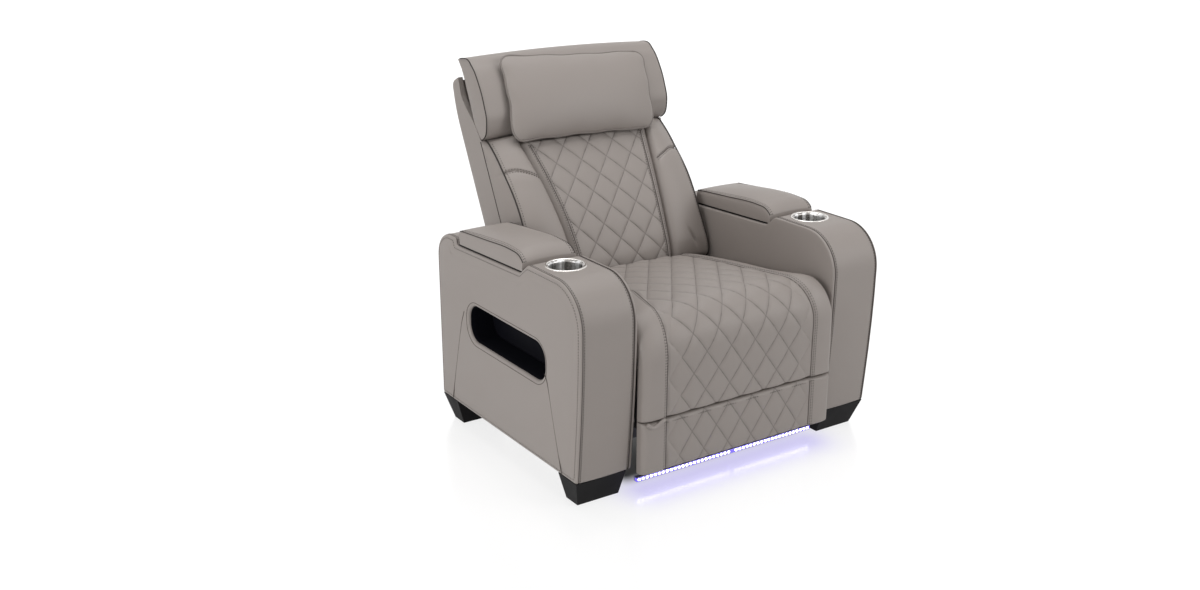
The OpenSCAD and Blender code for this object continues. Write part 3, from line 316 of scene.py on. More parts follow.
def thread(path: Array, pitch: float = 0.0075, length: float = 0.005, radius: float = 0.001,
           closed: bool = False) -> Shape:
    """Stitches along a path: one slim spindle for each pitch, of two rings of four points and two tips.

    Args:
        path: points in metres.
        pitch: distance from stitch to stitch.
        length: length of a stitch.
        radius: half of its thickness.
        closed: whether the path returns to its start.

    Returns:
        Points and faces of all the stitches.
    """
    centre = resampled(path, pitch, closed)
    tangent, side, up = frames(centre, closed)
    turn = np.linspace(0, 2 * np.pi, 4, endpoint=False)
    ring = (np.cos(turn)[None, :, None] * side[:, None] + np.sin(turn)[None, :, None] * up[:, None]) * radius
    along = tangent[:, None] * length / 2
    tips = np.concatenate([centre[:, None] - along, centre[:, None] + along], 1)
    shoulder = along * 0.6
    near, far = centre[:, None] - shoulder + ring, centre[:, None] + shoulder + ring
    points = np.concatenate([tips, near, far], 1)
    k = np.arange(4)
    k2 = (k + 1) % 4
    body = np.stack([2 + k, 2 + k2, 6 + k2, 6 + k], -1)
    caps = np.concatenate([np.stack([0 * k, 2 + k2, 2 + k], -1), np.stack([0 * k + 1, 6 + k, 6 + k2], -1)])
    shift = np.arange(len(centre))[:, None, None] * points.shape[1]
    faces = (body + shift).reshape(-1, 4).tolist() + (caps + shift).reshape(-1, 3).tolist()
    return points.reshape(-1, 3), faces


def merged(*shapes: Shape) -> Shape:
    """Several shapes put together as one."""
    starts = np.cumsum([0] + [len(points) for points, _ in shapes])
    faces = [[corner + int(start) for corner in face]
             for (_, part), start in zip(shapes, starts) for face in part]
    return np.concatenate([points for points, _ in shapes]), faces


def mirrored(shape: Shape) -> Shape:
    """The same shape on the other side of the plane x = 0, with its faces turned to match."""
    points, faces = shape
    return points * [-1, 1, 1], [face[::-1] for face in faces]


def volume(points: Array, faces: list[list[int]]) -> float:
    """Signed volume of a closed mesh, from the fans of its faces."""
    fans = np.array([(f[0], f[k], f[k + 1]) for f in faces for k in range(1, len(f) - 1)])
    a, b, c = points[fans[:, 0]], points[fans[:, 1]], points[fans[:, 2]]
    return float(np.einsum("ij,ij->i", a, np.cross(b, c)).sum() / 6)


def mesh_object(name: str, shape: Shape) -> bpy.types.Object:
    """A new object in the scene from a shape, with the faces of a closed one turned outwards."""
    points, faces = shape
    if volume(points, faces) < 0:
        faces = [face[::-1] for face in faces]
    mesh = bpy.data.meshes.new(name)
    mesh.from_pydata(points.tolist(), [], faces)
    obj = bpy.data.objects.new(name, mesh)
    bpy.context.scene.collection.objects.link(obj)
    return obj


@dataclass(frozen=True)
class Piece:
    """One dressed piece: its name, the body that it rides on and the nodes that it stands for."""

    name: str
    body: str
    replaces: tuple[str, ...] = ()
    fill: float | None = None
    sharp: float = 40.0

    def build(self, shape: Shape, finish: "Finish", uv: Array | None = None,
              level: int = 0) -> bpy.types.Object:
        """Makes the object, gives it its finish and body, and hides the nodes that it stands for.

        Args:
            shape: points in metres and faces.
            finish: the finish that it takes.
            uv: two numbers for each point, for a pattern that follows the surface.
            level: levels of subdivision.

        Returns:
            The object.
        """
        obj = mesh_object(self.name, shape)
        mesh = obj.data
        mesh.validate()
        mesh.polygons.foreach_set("use_smooth", np.ones(len(mesh.polygons), bool))
        if self.sharp < 180:
            mesh.set_sharp_from_angle(angle=np.radians(self.sharp))
        if uv is not None:
            corner = np.zeros(len(mesh.loops), np.int32)
            mesh.loops.foreach_get("vertex_index", corner)
            mesh.uv_layers.new(name="pattern").data.foreach_set("uv", uv[corner].astype(np.float32).ravel())
        mesh.materials.append(finish.material())
        if level:
            step = obj.modifiers.new("rounding", "SUBSURF")
            step.levels = step.render_levels = level
        if self.body:
            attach(obj, self.body)
        if self.replaces:
            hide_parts(*self.replaces)
        log.info("%s: %d faces on %s", self.name, len(mesh.polygons), self.body)
        return obj


def side_name(side: int) -> str:
    """The name of the sitter's side: left at positive x, right at negative x."""
    return "left" if side > 0 else "right"


def sided(shape: Shape, side: int) -> Shape:
    """A shape made for the left side, mirrored where it belongs on the right."""
    return shape if side > 0 else mirrored(shape)


def thin_piece(name: str, body: str, finish: "Finish", *shapes: Shape, side: int = 1) -> bpy.types.Object:
    """One smooth piece of thin shapes, such as piping or stitches, mirrored for the sitter's right."""
    return Piece(name, body, sharp=180).build(sided(merged(*shapes), side), finish)


def cut_away(obj: bpy.types.Object, shape: Shape) -> None:
    """Cuts a closed shape out of an object's mesh, and leaves no modifier behind."""
    cutter = mesh_object("cutter", shape)
    mesh = cutter.data
    cut = obj.modifiers.new("cut", "BOOLEAN")
    cut.object, cut.operation, cut.solver = cutter, "DIFFERENCE", "EXACT"
    result = bpy.data.meshes.new_from_object(obj.evaluated_get(bpy.context.evaluated_depsgraph_get()))
    obj.modifiers.remove(cut)
    old, obj.data = obj.data, result
    result.name = old.name
    bpy.data.meshes.remove(old)
    bpy.data.objects.remove(cutter)
    bpy.data.meshes.remove(mesh)


def inflated(shape: Shape, pressure: float, cap: float, held: Array, steps: int = 20) -> Shape:
    """A closed shape blown up by a short cloth simulation without gravity, then held to a cap.

    Each point goes the way that the cloth took it, and no further than the cap.

    Args:
        shape: points in metres and faces.
        pressure: pressure inside.
        cap: furthest that a point may move, in metres.
        held: numbers of the points that the seam holds in place.
        steps: frames of the simulation.

    Returns:
        The new shape, with its points in their old order.
    """
    points, faces = shape
    scene, obj = bpy.context.scene, mesh_object("soft", shape)
    mesh = obj.data
    obj.vertex_groups.new(name="seam").add([int(k) for k in held], 1.0, "REPLACE")
    cloth = obj.modifiers.new("cloth", "CLOTH")
    cloth.settings.vertex_group_mass = "seam"
    cloth.settings.use_pressure = True
    cloth.settings.uniform_pressure_force = pressure
    cloth.settings.effector_weights.gravity = 0
    cloth.settings.bending_stiffness = 2.0
    cloth.point_cache.frame_end = steps
    for step in range(1, steps + 1):
        scene.frame_set(step)
    blown = obj.evaluated_get(bpy.context.evaluated_depsgraph_get()).data
    new = np.zeros(points.size)
    blown.vertices.foreach_get("co", new)
    move = new.reshape(-1, 3) - points
    length = np.linalg.norm(move, axis=1, keepdims=True)
    scene.frame_set(1)
    bpy.data.objects.remove(obj)
    bpy.data.meshes.remove(mesh)
    return points + move * np.minimum(1, cap / np.maximum(length, 1e-9)), faces


# Finishes


class Nodes:
    """A short way to place and join shader nodes in one tree."""

    def __init__(self, tree: bpy.types.NodeTree) -> None:
        """Keeps the tree that the nodes go into."""
        self.tree = tree

    def add(self, kind: str, inputs: dict | None = None, **settings) -> bpy.types.Node:
        """Places a node, sets its properties and fills or joins its inputs.

        Args:
            kind: type of node.
            inputs: value or socket for each input, by name or number.
            **settings: properties of the node.

        Returns:
            The node.
        """
        node = self.tree.nodes.new(kind)
        for key, value in settings.items():
            setattr(node, key, value)
        return self.fill(node, inputs or {})

    def fill(self, node: bpy.types.Node, inputs: dict) -> bpy.types.Node:
        """Fills or joins a node's inputs by name or number, and returns the node."""
        for key, value in inputs.items():
            if isinstance(value, bpy.types.NodeSocket):
                self.tree.links.new(value, node.inputs[key])
            else:
                node.inputs[key].default_value = value
        return node

    def math(self, operation: str, *values: float | bpy.types.NodeSocket) -> bpy.types.NodeSocket:
        """The result of one sum on numbers or sockets."""
        return self.add("ShaderNodeMath", dict(enumerate(values)), operation=operation).outputs[0]

    def mix(self, share: bpy.types.NodeSocket, a: tuple, b: tuple) -> bpy.types.NodeSocket:
        """A colour between two, by a share."""
        return self.add("ShaderNodeMix", {0: share, 6: a, 7: b}, data_type="RGBA").outputs[2]

    def noise(self, place: bpy.types.NodeSocket, scale: float | bpy.types.NodeSocket,
              detail: float) -> bpy.types.NodeSocket:
        """Cloudy noise about 0.5, at a scale per metre."""
        return self.add("ShaderNodeTexNoise", {"Vector": place, "Scale": scale, "Detail": detail}).outputs[0]

    def seen(self) -> bpy.types.NodeSocket:
        """1 for rays from the camera and through mirrors and clear pieces, 0 for the light that falls."""
        path = self.add("ShaderNodeLightPath").outputs
        direct = self.math("MAXIMUM", path["Is Camera Ray"], path["Is Glossy Ray"])
        return self.math("MAXIMUM", direct, path["Is Transmission Ray"])

    def deliver(self, end: bpy.types.Node, *values: bpy.types.NodeSocket) -> bpy.types.NodeTree:
        """Joins values to a group's outputs in turn, and returns the tree."""
        self.fill(end, dict(enumerate(values)))
        return self.tree

    def fade(self, value: bpy.types.NodeSocket, start: float,
             end: float | bpy.types.NodeSocket) -> bpy.types.NodeSocket:
        """Falls smoothly from 1 where the value is at start or below, to 0 where it is at end or above."""
        return self.add("ShaderNodeMapRange", {0: value, 1: start, 2: end, 3: 1.0, 4: 0.0},
                        interpolation_type="SMOOTHSTEP").outputs[0]


class Group(Enum):
    """Effects that more than one finish uses, each built once as a node group."""

    GRAIN = "leather_grain"
    QUILT = "quilt_seams"
    SPECKLE = "fine_speckle"
    BRUSHED = "brushed_lines"
    STREAKS = "upright_streaks"

    def tree(self) -> bpy.types.NodeTree:
        """The group's tree, built when it is first asked for."""
        found = bpy.data.node_groups.get(self.value)
        return found or getattr(self, "_" + self.name.lower())()

    def _start(self, inputs: dict[str, tuple], outputs: tuple[str, ...]) -> tuple:
        """A new tree with its sockets.

        Args:
            inputs: type and value of each input by name.
            outputs: names of the outputs, each a plain number.

        Returns:
            The tree's node helper, its input sockets and its output node.
        """
        tree = bpy.data.node_groups.new(self.value, "ShaderNodeTree")
        for name, (kind, value) in inputs.items():
            socket = tree.interface.new_socket(name, in_out="INPUT", socket_type=kind)
            if value is not None:
                socket.default_value = value
        for name in outputs:
            tree.interface.new_socket(name, in_out="OUTPUT", socket_type="NodeSocketFloat")
        nodes = Nodes(tree)
        return nodes, nodes.add("NodeGroupInput").outputs, nodes.add("NodeGroupOutput")

    def _patterned(self, scale: float, *outputs: str) -> tuple:
        """A new tree with the two inputs that all fine patterns have: the place, and a scale."""
        inputs = {"Vector": ("NodeSocketVector", None), "Scale": ("NodeSocketFloat", scale)}
        return self._start(inputs, outputs)

    def _grain(self) -> bpy.types.NodeTree:
        """Leather grain: small cells for the height, and two sizes of cloud for the colour."""
        nodes, (place, scale, *_), end = self._patterned(700.0, "Height", "Mottle", "Cloud")
        cell = nodes.add("ShaderNodeTexVoronoi", {"Vector": place, "Scale": scale}).outputs[0]
        fine = nodes.noise(place, 260.0, 3.0)
        height = nodes.math("MULTIPLY_ADD", fine, 0.8, cell)
        return nodes.deliver(end, height, fine, nodes.noise(place, 7.0, 3.0))

    def _quilt(self) -> bpy.types.NodeTree:
        """Lines of diamond quilting from a pattern counted in quarters of a diamond, and a broader share that
        darkens their valleys as painted shade.

        A seam runs where the sum or the difference of the two counts is a multiple of four, inside the field.
        """
        nodes, (pattern, field, width, *_), end = self._start(
            {"Pattern": ("NodeSocketVector", None), "Field": ("NodeSocketFloat", 10.0),
             "Width": ("NodeSocketFloat", 0.1)}, ("Line", "Valley"))
        a, b, _ = nodes.add("ShaderNodeSeparateXYZ", {0: pattern}).outputs
        near = []
        for operation in ("ADD", "SUBTRACT"):
            turn = nodes.math("MULTIPLY", nodes.math(operation, a, b), 0.25)
            near.append(nodes.math("MULTIPLY", nodes.math("PINGPONG", turn, 0.5), 4.0))
        least = nodes.math("MINIMUM", *near)
        inside = nodes.math("LESS_THAN", nodes.math("ABSOLUTE", a), field)
        line = nodes.math("MULTIPLY", nodes.fade(least, 0.0, width), inside)
        return nodes.deliver(end, line, nodes.math("MULTIPLY", nodes.fade(least, 0.0, 0.7), inside))

    def _speckle(self) -> bpy.types.NodeTree:
        """Fine unevenness of moulded or coated surfaces."""
        nodes, (place, scale, *_), end = self._patterned(900.0, "Height", "Cloud")
        return nodes.deliver(end, nodes.noise(place, scale, 2.0), nodes.noise(place, 18.0, 3.0))

    def _brushed(self) -> bpy.types.NodeTree:
        """Fine level lines of brushed metal: noise drawn out along the level directions."""
        nodes, (place, scale, *_), end = self._patterned(1.0, "Height", "Cloud")
        stretched = nodes.add("ShaderNodeMapping", {0: place, 3: (12.0, 12.0, 2600.0)}).outputs[0]
        return nodes.deliver(end, nodes.noise(stretched, scale, 2.0), nodes.noise(place, 25.0, 2.0))

    def _streaks(self) -> bpy.types.NodeTree:
        """Painted reflections of a deep drawn wall: upright light and dark streaks of noise drawn out along
        z.
        """
        nodes, (place, scale, *_), end = self._patterned(1.0, "Height", "Cloud")
        drawn = nodes.add("ShaderNodeMapping", {0: place, 3: (75.0, 75.0, 0.6)}).outputs[0]
        lines = nodes.noise(drawn, scale, 1.0)
        contrast = nodes.add("ShaderNodeMapRange", {0: lines, 1: 0.36, 2: 0.62, 3: 0.0, 4: 1.0}).outputs[0]
        return nodes.deliver(end, lines, contrast)


@dataclass(frozen=True)
class Finish:
    """One finish: its name, a slot name that is not used, and surface values."""

    name: str
    slot: str
    color: tuple[float, float, float]
    roughness: float = 0.5
    metallic: float = 0.0
    effect: Group = Group.SPECKLE
    scale: float = 900.0
    relief: float = 0.1
    depth: float = 0.0003
    shade: float = 0.08
    specular: float = 0.5
    sheen: float = 0.0
    coat: float = 0.0
    glow: float = 0.0
    quilted: bool = False
    field: float = 10.0

    @property
    def surface(self) -> str:
        """Name of the finish's material, apart from the names that the frame's own materials have."""
        return f"{self.name}_surface"

    def rgba(self, factor: float = 1.0) -> tuple[float, float, float, float]:
        """The colour times a factor, with full alpha."""
        return (*(min(1.0, part * factor) for part in self.color), 1.0)

    def material(self) -> bpy.types.Material:
        """The finish's material, built when it is first asked for.

        Returns:
            A material whose Principled shader reads the effect's group for colour, roughness and bump.
        """
        found = bpy.data.materials.get(self.surface)
        if found:
            return found
        material = bpy.data.materials.new(self.surface)
        material.use_nodes = True
        nodes = Nodes(material.node_tree)
        shader = material.node_tree.nodes["Principled BSDF"]
        place = nodes.add("ShaderNodeTexCoord").outputs["Object"]
        effect = nodes.add("ShaderNodeGroup", {"Vector": place, "Scale": self.scale},
                           node_tree=self.effect.tree())
        cloud = effect.outputs["Cloud"]
        color = nodes.mix(cloud, self.rgba(1 - self.shade), self.rgba(1 + self.shade))
        if self.effect is Group.GRAIN:
            mottle = nodes.math("MULTIPLY", effect.outputs["Mottle"], 0.5)
            color = nodes.mix(mottle, color, self.rgba(1 - self.shade))
        bump = nodes.add("ShaderNodeBump", {"Height": effect.outputs["Height"], "Strength": self.relief,
                                            "Distance": self.depth})
        if self.quilted:
            pattern = nodes.add("ShaderNodeUVMap", uv_map="pattern").outputs[0]
            quilt = nodes.add("ShaderNodeGroup", {"Pattern": pattern, "Field": self.field},
                              node_tree=Group.QUILT.tree())
            # Painted shade: the colour darkens towards each quilting seam's valley.
            color = nodes.mix(nodes.math("MULTIPLY", quilt.outputs["Valley"], 0.16), color, self.rgba(0.5))
            # The seam line itself darkens more: its stitching, and painted shade in its groove.
            color = nodes.mix(nodes.math("MULTIPLY", quilt.outputs["Line"], 0.5), color, self.rgba(0.3))
            seam = nodes.math("MULTIPLY", quilt.outputs["Line"], -1.0)
            bump = nodes.add("ShaderNodeBump", {"Height": seam, "Strength": 0.5, "Distance": 0.0012,
                                                "Normal": bump.outputs[0]})
        rough = nodes.add("ShaderNodeMapRange", {0: cloud, 1: 0.3, 2: 0.7, 3: self.roughness - 0.04,
                                                 4: self.roughness + 0.05}).outputs[0]
        nodes.fill(shader, {"Base Color": color, "Roughness": rough, "Normal": bump.outputs[0],
                            "Metallic": self.metallic, "Specular IOR Level": self.specular,
                            "Sheen Weight": self.sheen, "Coat Weight": self.coat})
        if self.glow:
            nodes.fill(shader, {"Emission Color": self.rgba(), "Emission Strength": self.glow})
        return material


@dataclass(frozen=True)
class PlyFinish(Finish):
    """Plain plywood: long grain from stretched clouds."""

    def material(self) -> bpy.types.Material:
        """The plywood's material: the plain one, with bands of grain drawn out along x."""
        known = bpy.data.materials.get(self.surface)
        material = super().material()
        if known:
            return material
        nodes = Nodes(material.node_tree)
        shader = material.node_tree.nodes["Principled BSDF"]
        place = nodes.add("ShaderNodeTexCoord").outputs["Object"]
        long = nodes.add("ShaderNodeMapping", {0: place, 3: (3.0, 60.0, 60.0)}).outputs[0]
        grain = nodes.add("ShaderNodeTexNoise", {"Vector": long, "Scale": 1.6, "Detail": 6.0,
                                                 "Distortion": 0.6}).outputs[0]
        nodes.fill(shader, {"Base Color": nodes.mix(grain, self.rgba(0.7), self.rgba(1.25))})
        return material


LEATHER = Finish("leather", "leather", (0.318, 0.283, 0.262), 0.5, effect=Group.GRAIN, scale=750.0,
                 relief=0.16, shade=0.035, specular=0.4)
QUILTED = replace(LEATHER, name="quilted_leather", quilted=True)
PIPING = Finish("dark_piping", "leather", (0.05, 0.043, 0.04), 0.6, effect=Group.GRAIN, specular=0.2)
WELT = replace(PIPING, name="leather_welt", color=(0.215, 0.19, 0.175), roughness=0.5, specular=0.35)
THREAD = Finish("stitching_thread", "leather", (0.10, 0.088, 0.08), 0.6, relief=0.3, specular=0.3, sheen=0.2)
# Dark cords laid along seams: painted shade in the seam lines.
SEAM = replace(PIPING, name="seam_shadow", color=(0.105, 0.09, 0.083), roughness=0.7, specular=0.15)
LINING = Finish("pocket_lining", "pocket_lining", (0.0022, 0.0022, 0.0045), 0.7, specular=0.1)
# The cup's upright streaks lighten and darken its colour by the shade: painted reflections.
STAINLESS = Finish("stainless_steel", "stainless_steel", (0.72, 0.69, 0.66), 0.3, 1.0, Group.STREAKS, 1.0,
                   0.02, shade=0.62)
RIM = Finish("rim_steel", "stainless_steel", (0.80, 0.78, 0.75), 0.24, 1.0, Group.BRUSHED, 1.0, 0.03)
ZINC = Finish("zinc_steel", "zinc_steel", (0.50, 0.50, 0.52), 0.35, 1.0, relief=0.08)
BLACK_STEEL = Finish("black_steel", "black_steel", (0.02, 0.02, 0.022), 0.45, scale=1500.0, relief=0.25)
BLACK_FOOT = Finish("black_foot", "black_foot", (0.005, 0.0045, 0.005), 0.55, relief=0.08, specular=0.1)
DARK_PLASTIC = Finish("dark_plastic", "dark_plastic", (0.012, 0.012, 0.013), 0.65, scale=2000.0, relief=0.3,
                      specular=0.15)
PROFILE = Finish("light_profile", "light_profile", (0.30, 0.28, 0.60), 0.35, 1.0, Group.BRUSHED, 1.0, 0.05)
LENS = Finish("light_lens", "light_lens", (0.16, 0.11, 1.0), 0.3, glow=1.1)
GLOW = Finish("light_glow", "light_lens", (0.80, 0.80, 1.0), 0.3, glow=10.0)
BUTTON = Finish("button_metal", "button_metal", (0.4, 0.4, 0.41), 0.3, 1.0, Group.BRUSHED, 1.0, 0.04)
NYLON = Finish("nylon", "nylon", (0.75, 0.73, 0.68), 0.45, specular=0.4)
PLYWOOD = PlyFinish("plywood", "plywood", (0.45, 0.30, 0.15), 0.6, relief=0.12)

NODE_FINISHES = {
    DARK_PLASTIC: ("arm_bin_left", "arm_bin_right", "lid_board_left", "lid_board_right", "power_box",
                   "switch_panel", "leg_motor", "recline_motor", "head_motor"),
    LINING: ("pocket_liner_left", "pocket_liner_right"),
    ZINC: ("lid_pins", "seat_springs", "recline_rod", "torque_tube", "push_links", "head_rod"),
    BLACK_FOOT: ("foot_front_left", "foot_front_right", "foot_rear_left", "foot_rear_right"),
    BLACK_STEEL: ("base_rail_left", "base_rail_right", "cross_tubes", "seat_plate_left", "seat_plate_right",
                  "seat_rails", "leg_brackets", "back_frame", "head_frame"),
    PROFILE: ("led_bar",),
    LENS: ("led_strip",),
    BUTTON: ("recline_button", "leg_button", "head_button", "light_button"),
    NYLON: ("glide_shoes",),
    PLYWOOD: ("leg_board", "back_board"),
}


# Arms

ARM_MID_X = 410.0
RECESS_Y = (258.0, 616.0)
RECESS_Z = (565.0, 552.0)


def recess_z(y: Array) -> Array:
    """Level of the recess under an arm's lid at a place along the arm: a straight fall to the rear."""
    return RECESS_Z[1] + (RECESS_Y[1] - y) * ((RECESS_Z[0] - RECESS_Z[1]) / (RECESS_Y[1] - RECESS_Y[0]))


@dataclass(frozen=True)
class Arm:
    """One console arm: outer panel with its side pocket, band, inner panel, cup, and their seams."""

    side: int
    in_x: float = 325.0
    out_x: float = 495.0
    top_z: float = 595.0
    tail_z: float = 572.0
    rear_y: float = 730.0
    low_z: float = 75.0
    nose_r: float = 113.0
    tail_r: float = 75.0
    swell: float = 24.0
    nose_y: float = 95.0
    nose_z: float = 482.0
    outer_t: float = 8.2
    inner_t: float = 9.0
    panel_t: float = 20.0
    band_t: float = 15.0
    soft: float = 30.0
    drop: float = 2.6
    edge: float = 4.6
    foot_r: float = 6.0
    lip: float = 8.0
    seam_dip: float = 2.6
    pocket: tuple[float, float, float, float] = (149.0, 298.0, 403.0, 106.0)
    pocket_r: float = 46.0
    mid_x: float = ARM_MID_X
    cup_y: float = 179.0
    cup_r: float = 43.0
    hole_r: float = 46.0
    bin_x: tuple[float, float] = (350.0, 470.0)
    bin_y: tuple[float, float] = (282.0, 574.0)
    step: float = 3.6

    def corners(self, t: float) -> Array:
        """Corners of the arm's outline at an inset t: swelling front, nose, recess, tail and underside."""
        u = np.linspace(0, 1, 6)
        fore, (start, rear) = self.nose_y - self.nose_r, RECESS_Y
        front = np.stack([self.swell + fore + t - self.swell * np.sin(u * np.pi / 2),
                          self.low_z + t + (self.nose_z - self.low_z - t) * u], -1)
        nose = arc((self.nose_y, self.nose_z), self.nose_r - t, np.pi, np.pi / 2, 13)
        dip = np.array([[start - 27, self.top_z - t], [start + 10, RECESS_Z[0] - t],
                        [rear + t, RECESS_Z[1] - t], [rear + 4 + t, self.tail_z - t]])
        tail = arc((self.rear_y - self.tail_r, self.tail_z - self.tail_r), self.tail_r - t, np.pi / 2, 0, 13)
        r = max(self.foot_r - t, 1.0)
        heel = arc((self.rear_y - t - r, self.low_z + t + r), r, 0, -np.pi / 2, 5)
        return np.concatenate([front, nose, dip, tail, heel])

    def outline(self, t: float) -> Array:
        """The outline at an inset t as a dense closed loop whose points keep their places at every inset.

        Each straight run between corners is cut by its length at no inset, then a narrow bell rounds the
        corners.
        """
        base = self.corners(0)
        length = np.linalg.norm(np.roll(base, -1, 0) - base, axis=1)
        counts = np.maximum(1, np.ceil(length / self.step)).astype(int)
        index = np.repeat(np.arange(len(base)), counts)
        ahead = np.arange(counts.sum()) - np.repeat(np.cumsum(counts) - counts, counts)
        share = (ahead / np.repeat(counts, counts))[:, None]
        p = self.corners(t)
        return smoothed_loop(p[index] * (1 - share) + p[(index + 1) % len(p)] * share, 1.6)

    def eased(self) -> Array:
        """The field's edge, smoothed until its directions from the pocket's middle run one way round."""
        return smoothed_loop(self.outline(self.soft + 14.0), 14.0)

    def mouth(self, grow: float, like: Array) -> Array:
        """The pocket's rounded mouth, grown, with one point in the direction of each point of another loop.

        Args:
            grow: how far the mouth is grown.
            like: the loop whose directions from the mouth's middle are followed.

        Returns:
            The mouth's points, as many as the loop has.
        """
        y, z, length, height = self.pocket
        middle = np.array([y + length / 2, z + height / 2])
        r = self.pocket_r + grow
        quarter = np.linspace(0, np.pi / 2, 40)
        turn = np.concatenate([quarter + k * np.pi / 2 for k in range(4)])
        reach = [length / 2 + grow - r, height / 2 + grow - r]
        corner = np.repeat([[1, 1], [-1, 1], [-1, -1], [1, -1]], len(quarter), 0) * reach
        ring = resampled(corner + r * np.stack([np.cos(turn), np.sin(turn)], -1), 1.0, True)
        angle = np.unwrap(np.arctan2(ring[:, 1], ring[:, 0]))
        wanted = np.arctan2(*(like - middle).T[::-1])
        wanted = (wanted - angle[0]) % (2 * np.pi) + angle[0]
        order = np.concatenate([angle, [angle[0] + 2 * np.pi]])
        ring = np.vstack([ring, ring[:1]])
        return middle + np.stack([np.interp(wanted, order, ring[:, k]) for k in range(2)], -1)

    def loops(self, stations: list[tuple[Array, float]]) -> Array:
        """Loops of points in metres from outlines in y and z, each at its own place across."""
        return np.stack([PLAN.floor(x, loop[:, 0], loop[:, 1]) for loop, x in stations])

    def line(self, t: float, x: float) -> Array:
        """The outline at an inset t as a closed line in metres, at one place across."""
        return self.loops([(self.outline(t), x)])[0]

    def outer_panel(self) -> Shape:
        """Padded outer side: rolled mouth of the pocket, nearly flat field, and a soft fall to the seam.

        The roll and the edge are quarter circles, the field swells by a sine between them, and the fall grows
        with the square of the way through the last stretch.
        """
        like, lip, x = self.eased(), self.lip, self.out_x
        quarter = np.linspace(0, np.pi / 2, 7)
        stations = [(self.mouth(0, like), x - self.panel_t)]
        stations += [(self.mouth(lip * (1 - np.cos(a)), like), x - lip + lip * np.sin(a)) for a in quarter]
        start, end, way = self.mouth(lip, like), self.outline(self.soft), np.linspace(0, 1, 26)[1:-1]
        bend = 0.8
        field = [start + (like - start) * u / bend if u < bend
                 else like + (end - like) * (u - bend) / (1 - bend) for u in way]
        stations += [(loop, x + 1.6 * np.sin(np.pi * u) ** 0.6) for loop, u in zip(field, way)]
        stations += [(self.outline(self.soft + (self.edge - self.soft) * s), x - self.drop * s * s)
                     for s in np.linspace(0, 1, 7)[:-1]]
        stations += [(self.outline(self.edge * (1 - np.sin(a))), x - self.drop - self.edge * (1 - np.cos(a)))
                     for a in quarter]
        back = self.band_t + 1
        stations += [(self.outline(self.seam_dip), x - self.outer_t),
                     (self.outline(back), x - self.outer_t - 0.3),
                     (self.outline(back), x - self.panel_t), (like, x - self.panel_t)]
        return ring_solid(self.loops(stations))

    def pocket_edge(self) -> Shape:
        """Thin lining turned out over the wall of the mouth, as far as its roll."""
        like, x0, x1 = self.eased(), self.out_x - self.panel_t - 0.5, self.out_x - self.lip + 0.6
        section = ((0.4, x0), (0.4, x1), (1.8, x1), (1.8, x0))
        return ring_solid(self.loops([(self.mouth(-t, like), x) for t, x in section]))

    def inner_panel(self) -> Shape:
        """Inner side: nearly flat field with a small soft edge, closed at its middle."""
        like, edge, x = self.eased(), 4.0, self.in_x
        core = self.mouth(-self.pocket_r + 1, like)
        quarter = np.linspace(0, np.pi / 2, 5)
        end = self.outline(edge)
        stations = [(core + (like - core) * u, x) for u in np.linspace(0, 1, 10)]
        stations += [(like + (end - like) * u, x) for u in (0.33, 0.67)]
        stations += [(self.outline(edge * (1 - np.sin(a))), x + edge - edge * np.cos(a)) for a in quarter]
        stations += [(self.outline(0), x + self.inner_t - 2.4),
                     (self.outline(self.seam_dip), x + self.inner_t),
                     (like, x + self.inner_t), (core, x + self.inner_t)]
        return capped_solid(self.loops(stations))

    def band(self) -> Shape:
        """Leather band round the arm: a shallow crown across, dipping into the seam at each edge."""
        x0, x1 = self.in_x + self.inner_t, self.out_x - self.outer_t
        across = np.array([0, 0.015, 0.035, 0.07, 0.15, 0.3, 0.5, 0.7, 0.85, 0.93, 0.965, 0.985, 1])
        inset = self.seam_dip * bell(np.minimum(across, 1 - across), 0.018) - 1.2 * np.sin(np.pi * across)
        stations = [(self.outline(t), x0 + (x1 - x0) * u) for u, t in zip(across, inset)]
        stations += [(self.outline(self.band_t), x1), (self.outline(self.band_t), x0)]
        return ring_solid(self.loops(stations))

    def turned(self, profile: Array, turns: int = 72) -> Shape:
        """A closed profile of radius and height turned about the cup's axis."""
        points, faces = lathe(profile, turns)
        return PLAN.floor(points[:, 0] + self.mid_x, points[:, 1] + self.cup_y, points[:, 2]), faces

    def cup(self) -> Shape:
        """Deep drawn cup with a rounded foot and a flared, rolled rim."""
        r, z, depth, wall, bend = self.cup_r, self.top_z, 75.0, 1.2, 9.0
        turn, roll = np.linspace(0, np.pi / 2, 7), np.linspace(np.pi / 2, -0.3, 7)
        foot = np.stack([r - bend + bend * np.sin(turn), z - depth + wall + bend - bend * np.cos(turn)], -1)
        flare = np.stack([r + 6 * (1 - np.cos(turn)), z - 5 + 6.2 * np.sin(turn)], -1)
        rim = np.stack([r + 9 + 2.2 * np.cos(roll), z + 0.4 + 1.8 * np.sin(roll)], -1)
        inside = np.concatenate([[[0.4, z - depth + wall]], foot, [[r, z - 30]], flare, rim])
        outside = np.array([[r + wall, z - 1.0], [r + wall, z - 40], [r + wall, z - depth + 8],
                            [r - 6, z - depth], [0.4, z - depth]])
        return self.turned(np.concatenate([inside, outside]))

    def cup_rim(self) -> Shape:
        """Polished bead round the cup's mouth: an oval section turned about the cup's axis."""
        turn = np.linspace(0, 2 * np.pi, 16, endpoint=False)
        oval = np.stack([self.cup_r + 8.6 + 2.9 * np.cos(turn), self.top_z + 0.7 + 1.9 * np.sin(turn)], -1)
        return self.turned(oval, 96)

    def rests(self) -> Shape:
        """Two dark strips that the closed lid almost touches, along the recess's floor beside its edges:
        painted shade in the gap under the lid.
        """
        y = np.linspace(RECESS_Y[0] + 6, RECESS_Y[1] - 6, 60)
        lines = [PLAN.floor(x, y, recess_z(y) + 1.7) for x in (self.in_x + 10.5, self.out_x - 10.5)]
        return merged(*[tube(line, 0.0019) for line in lines])

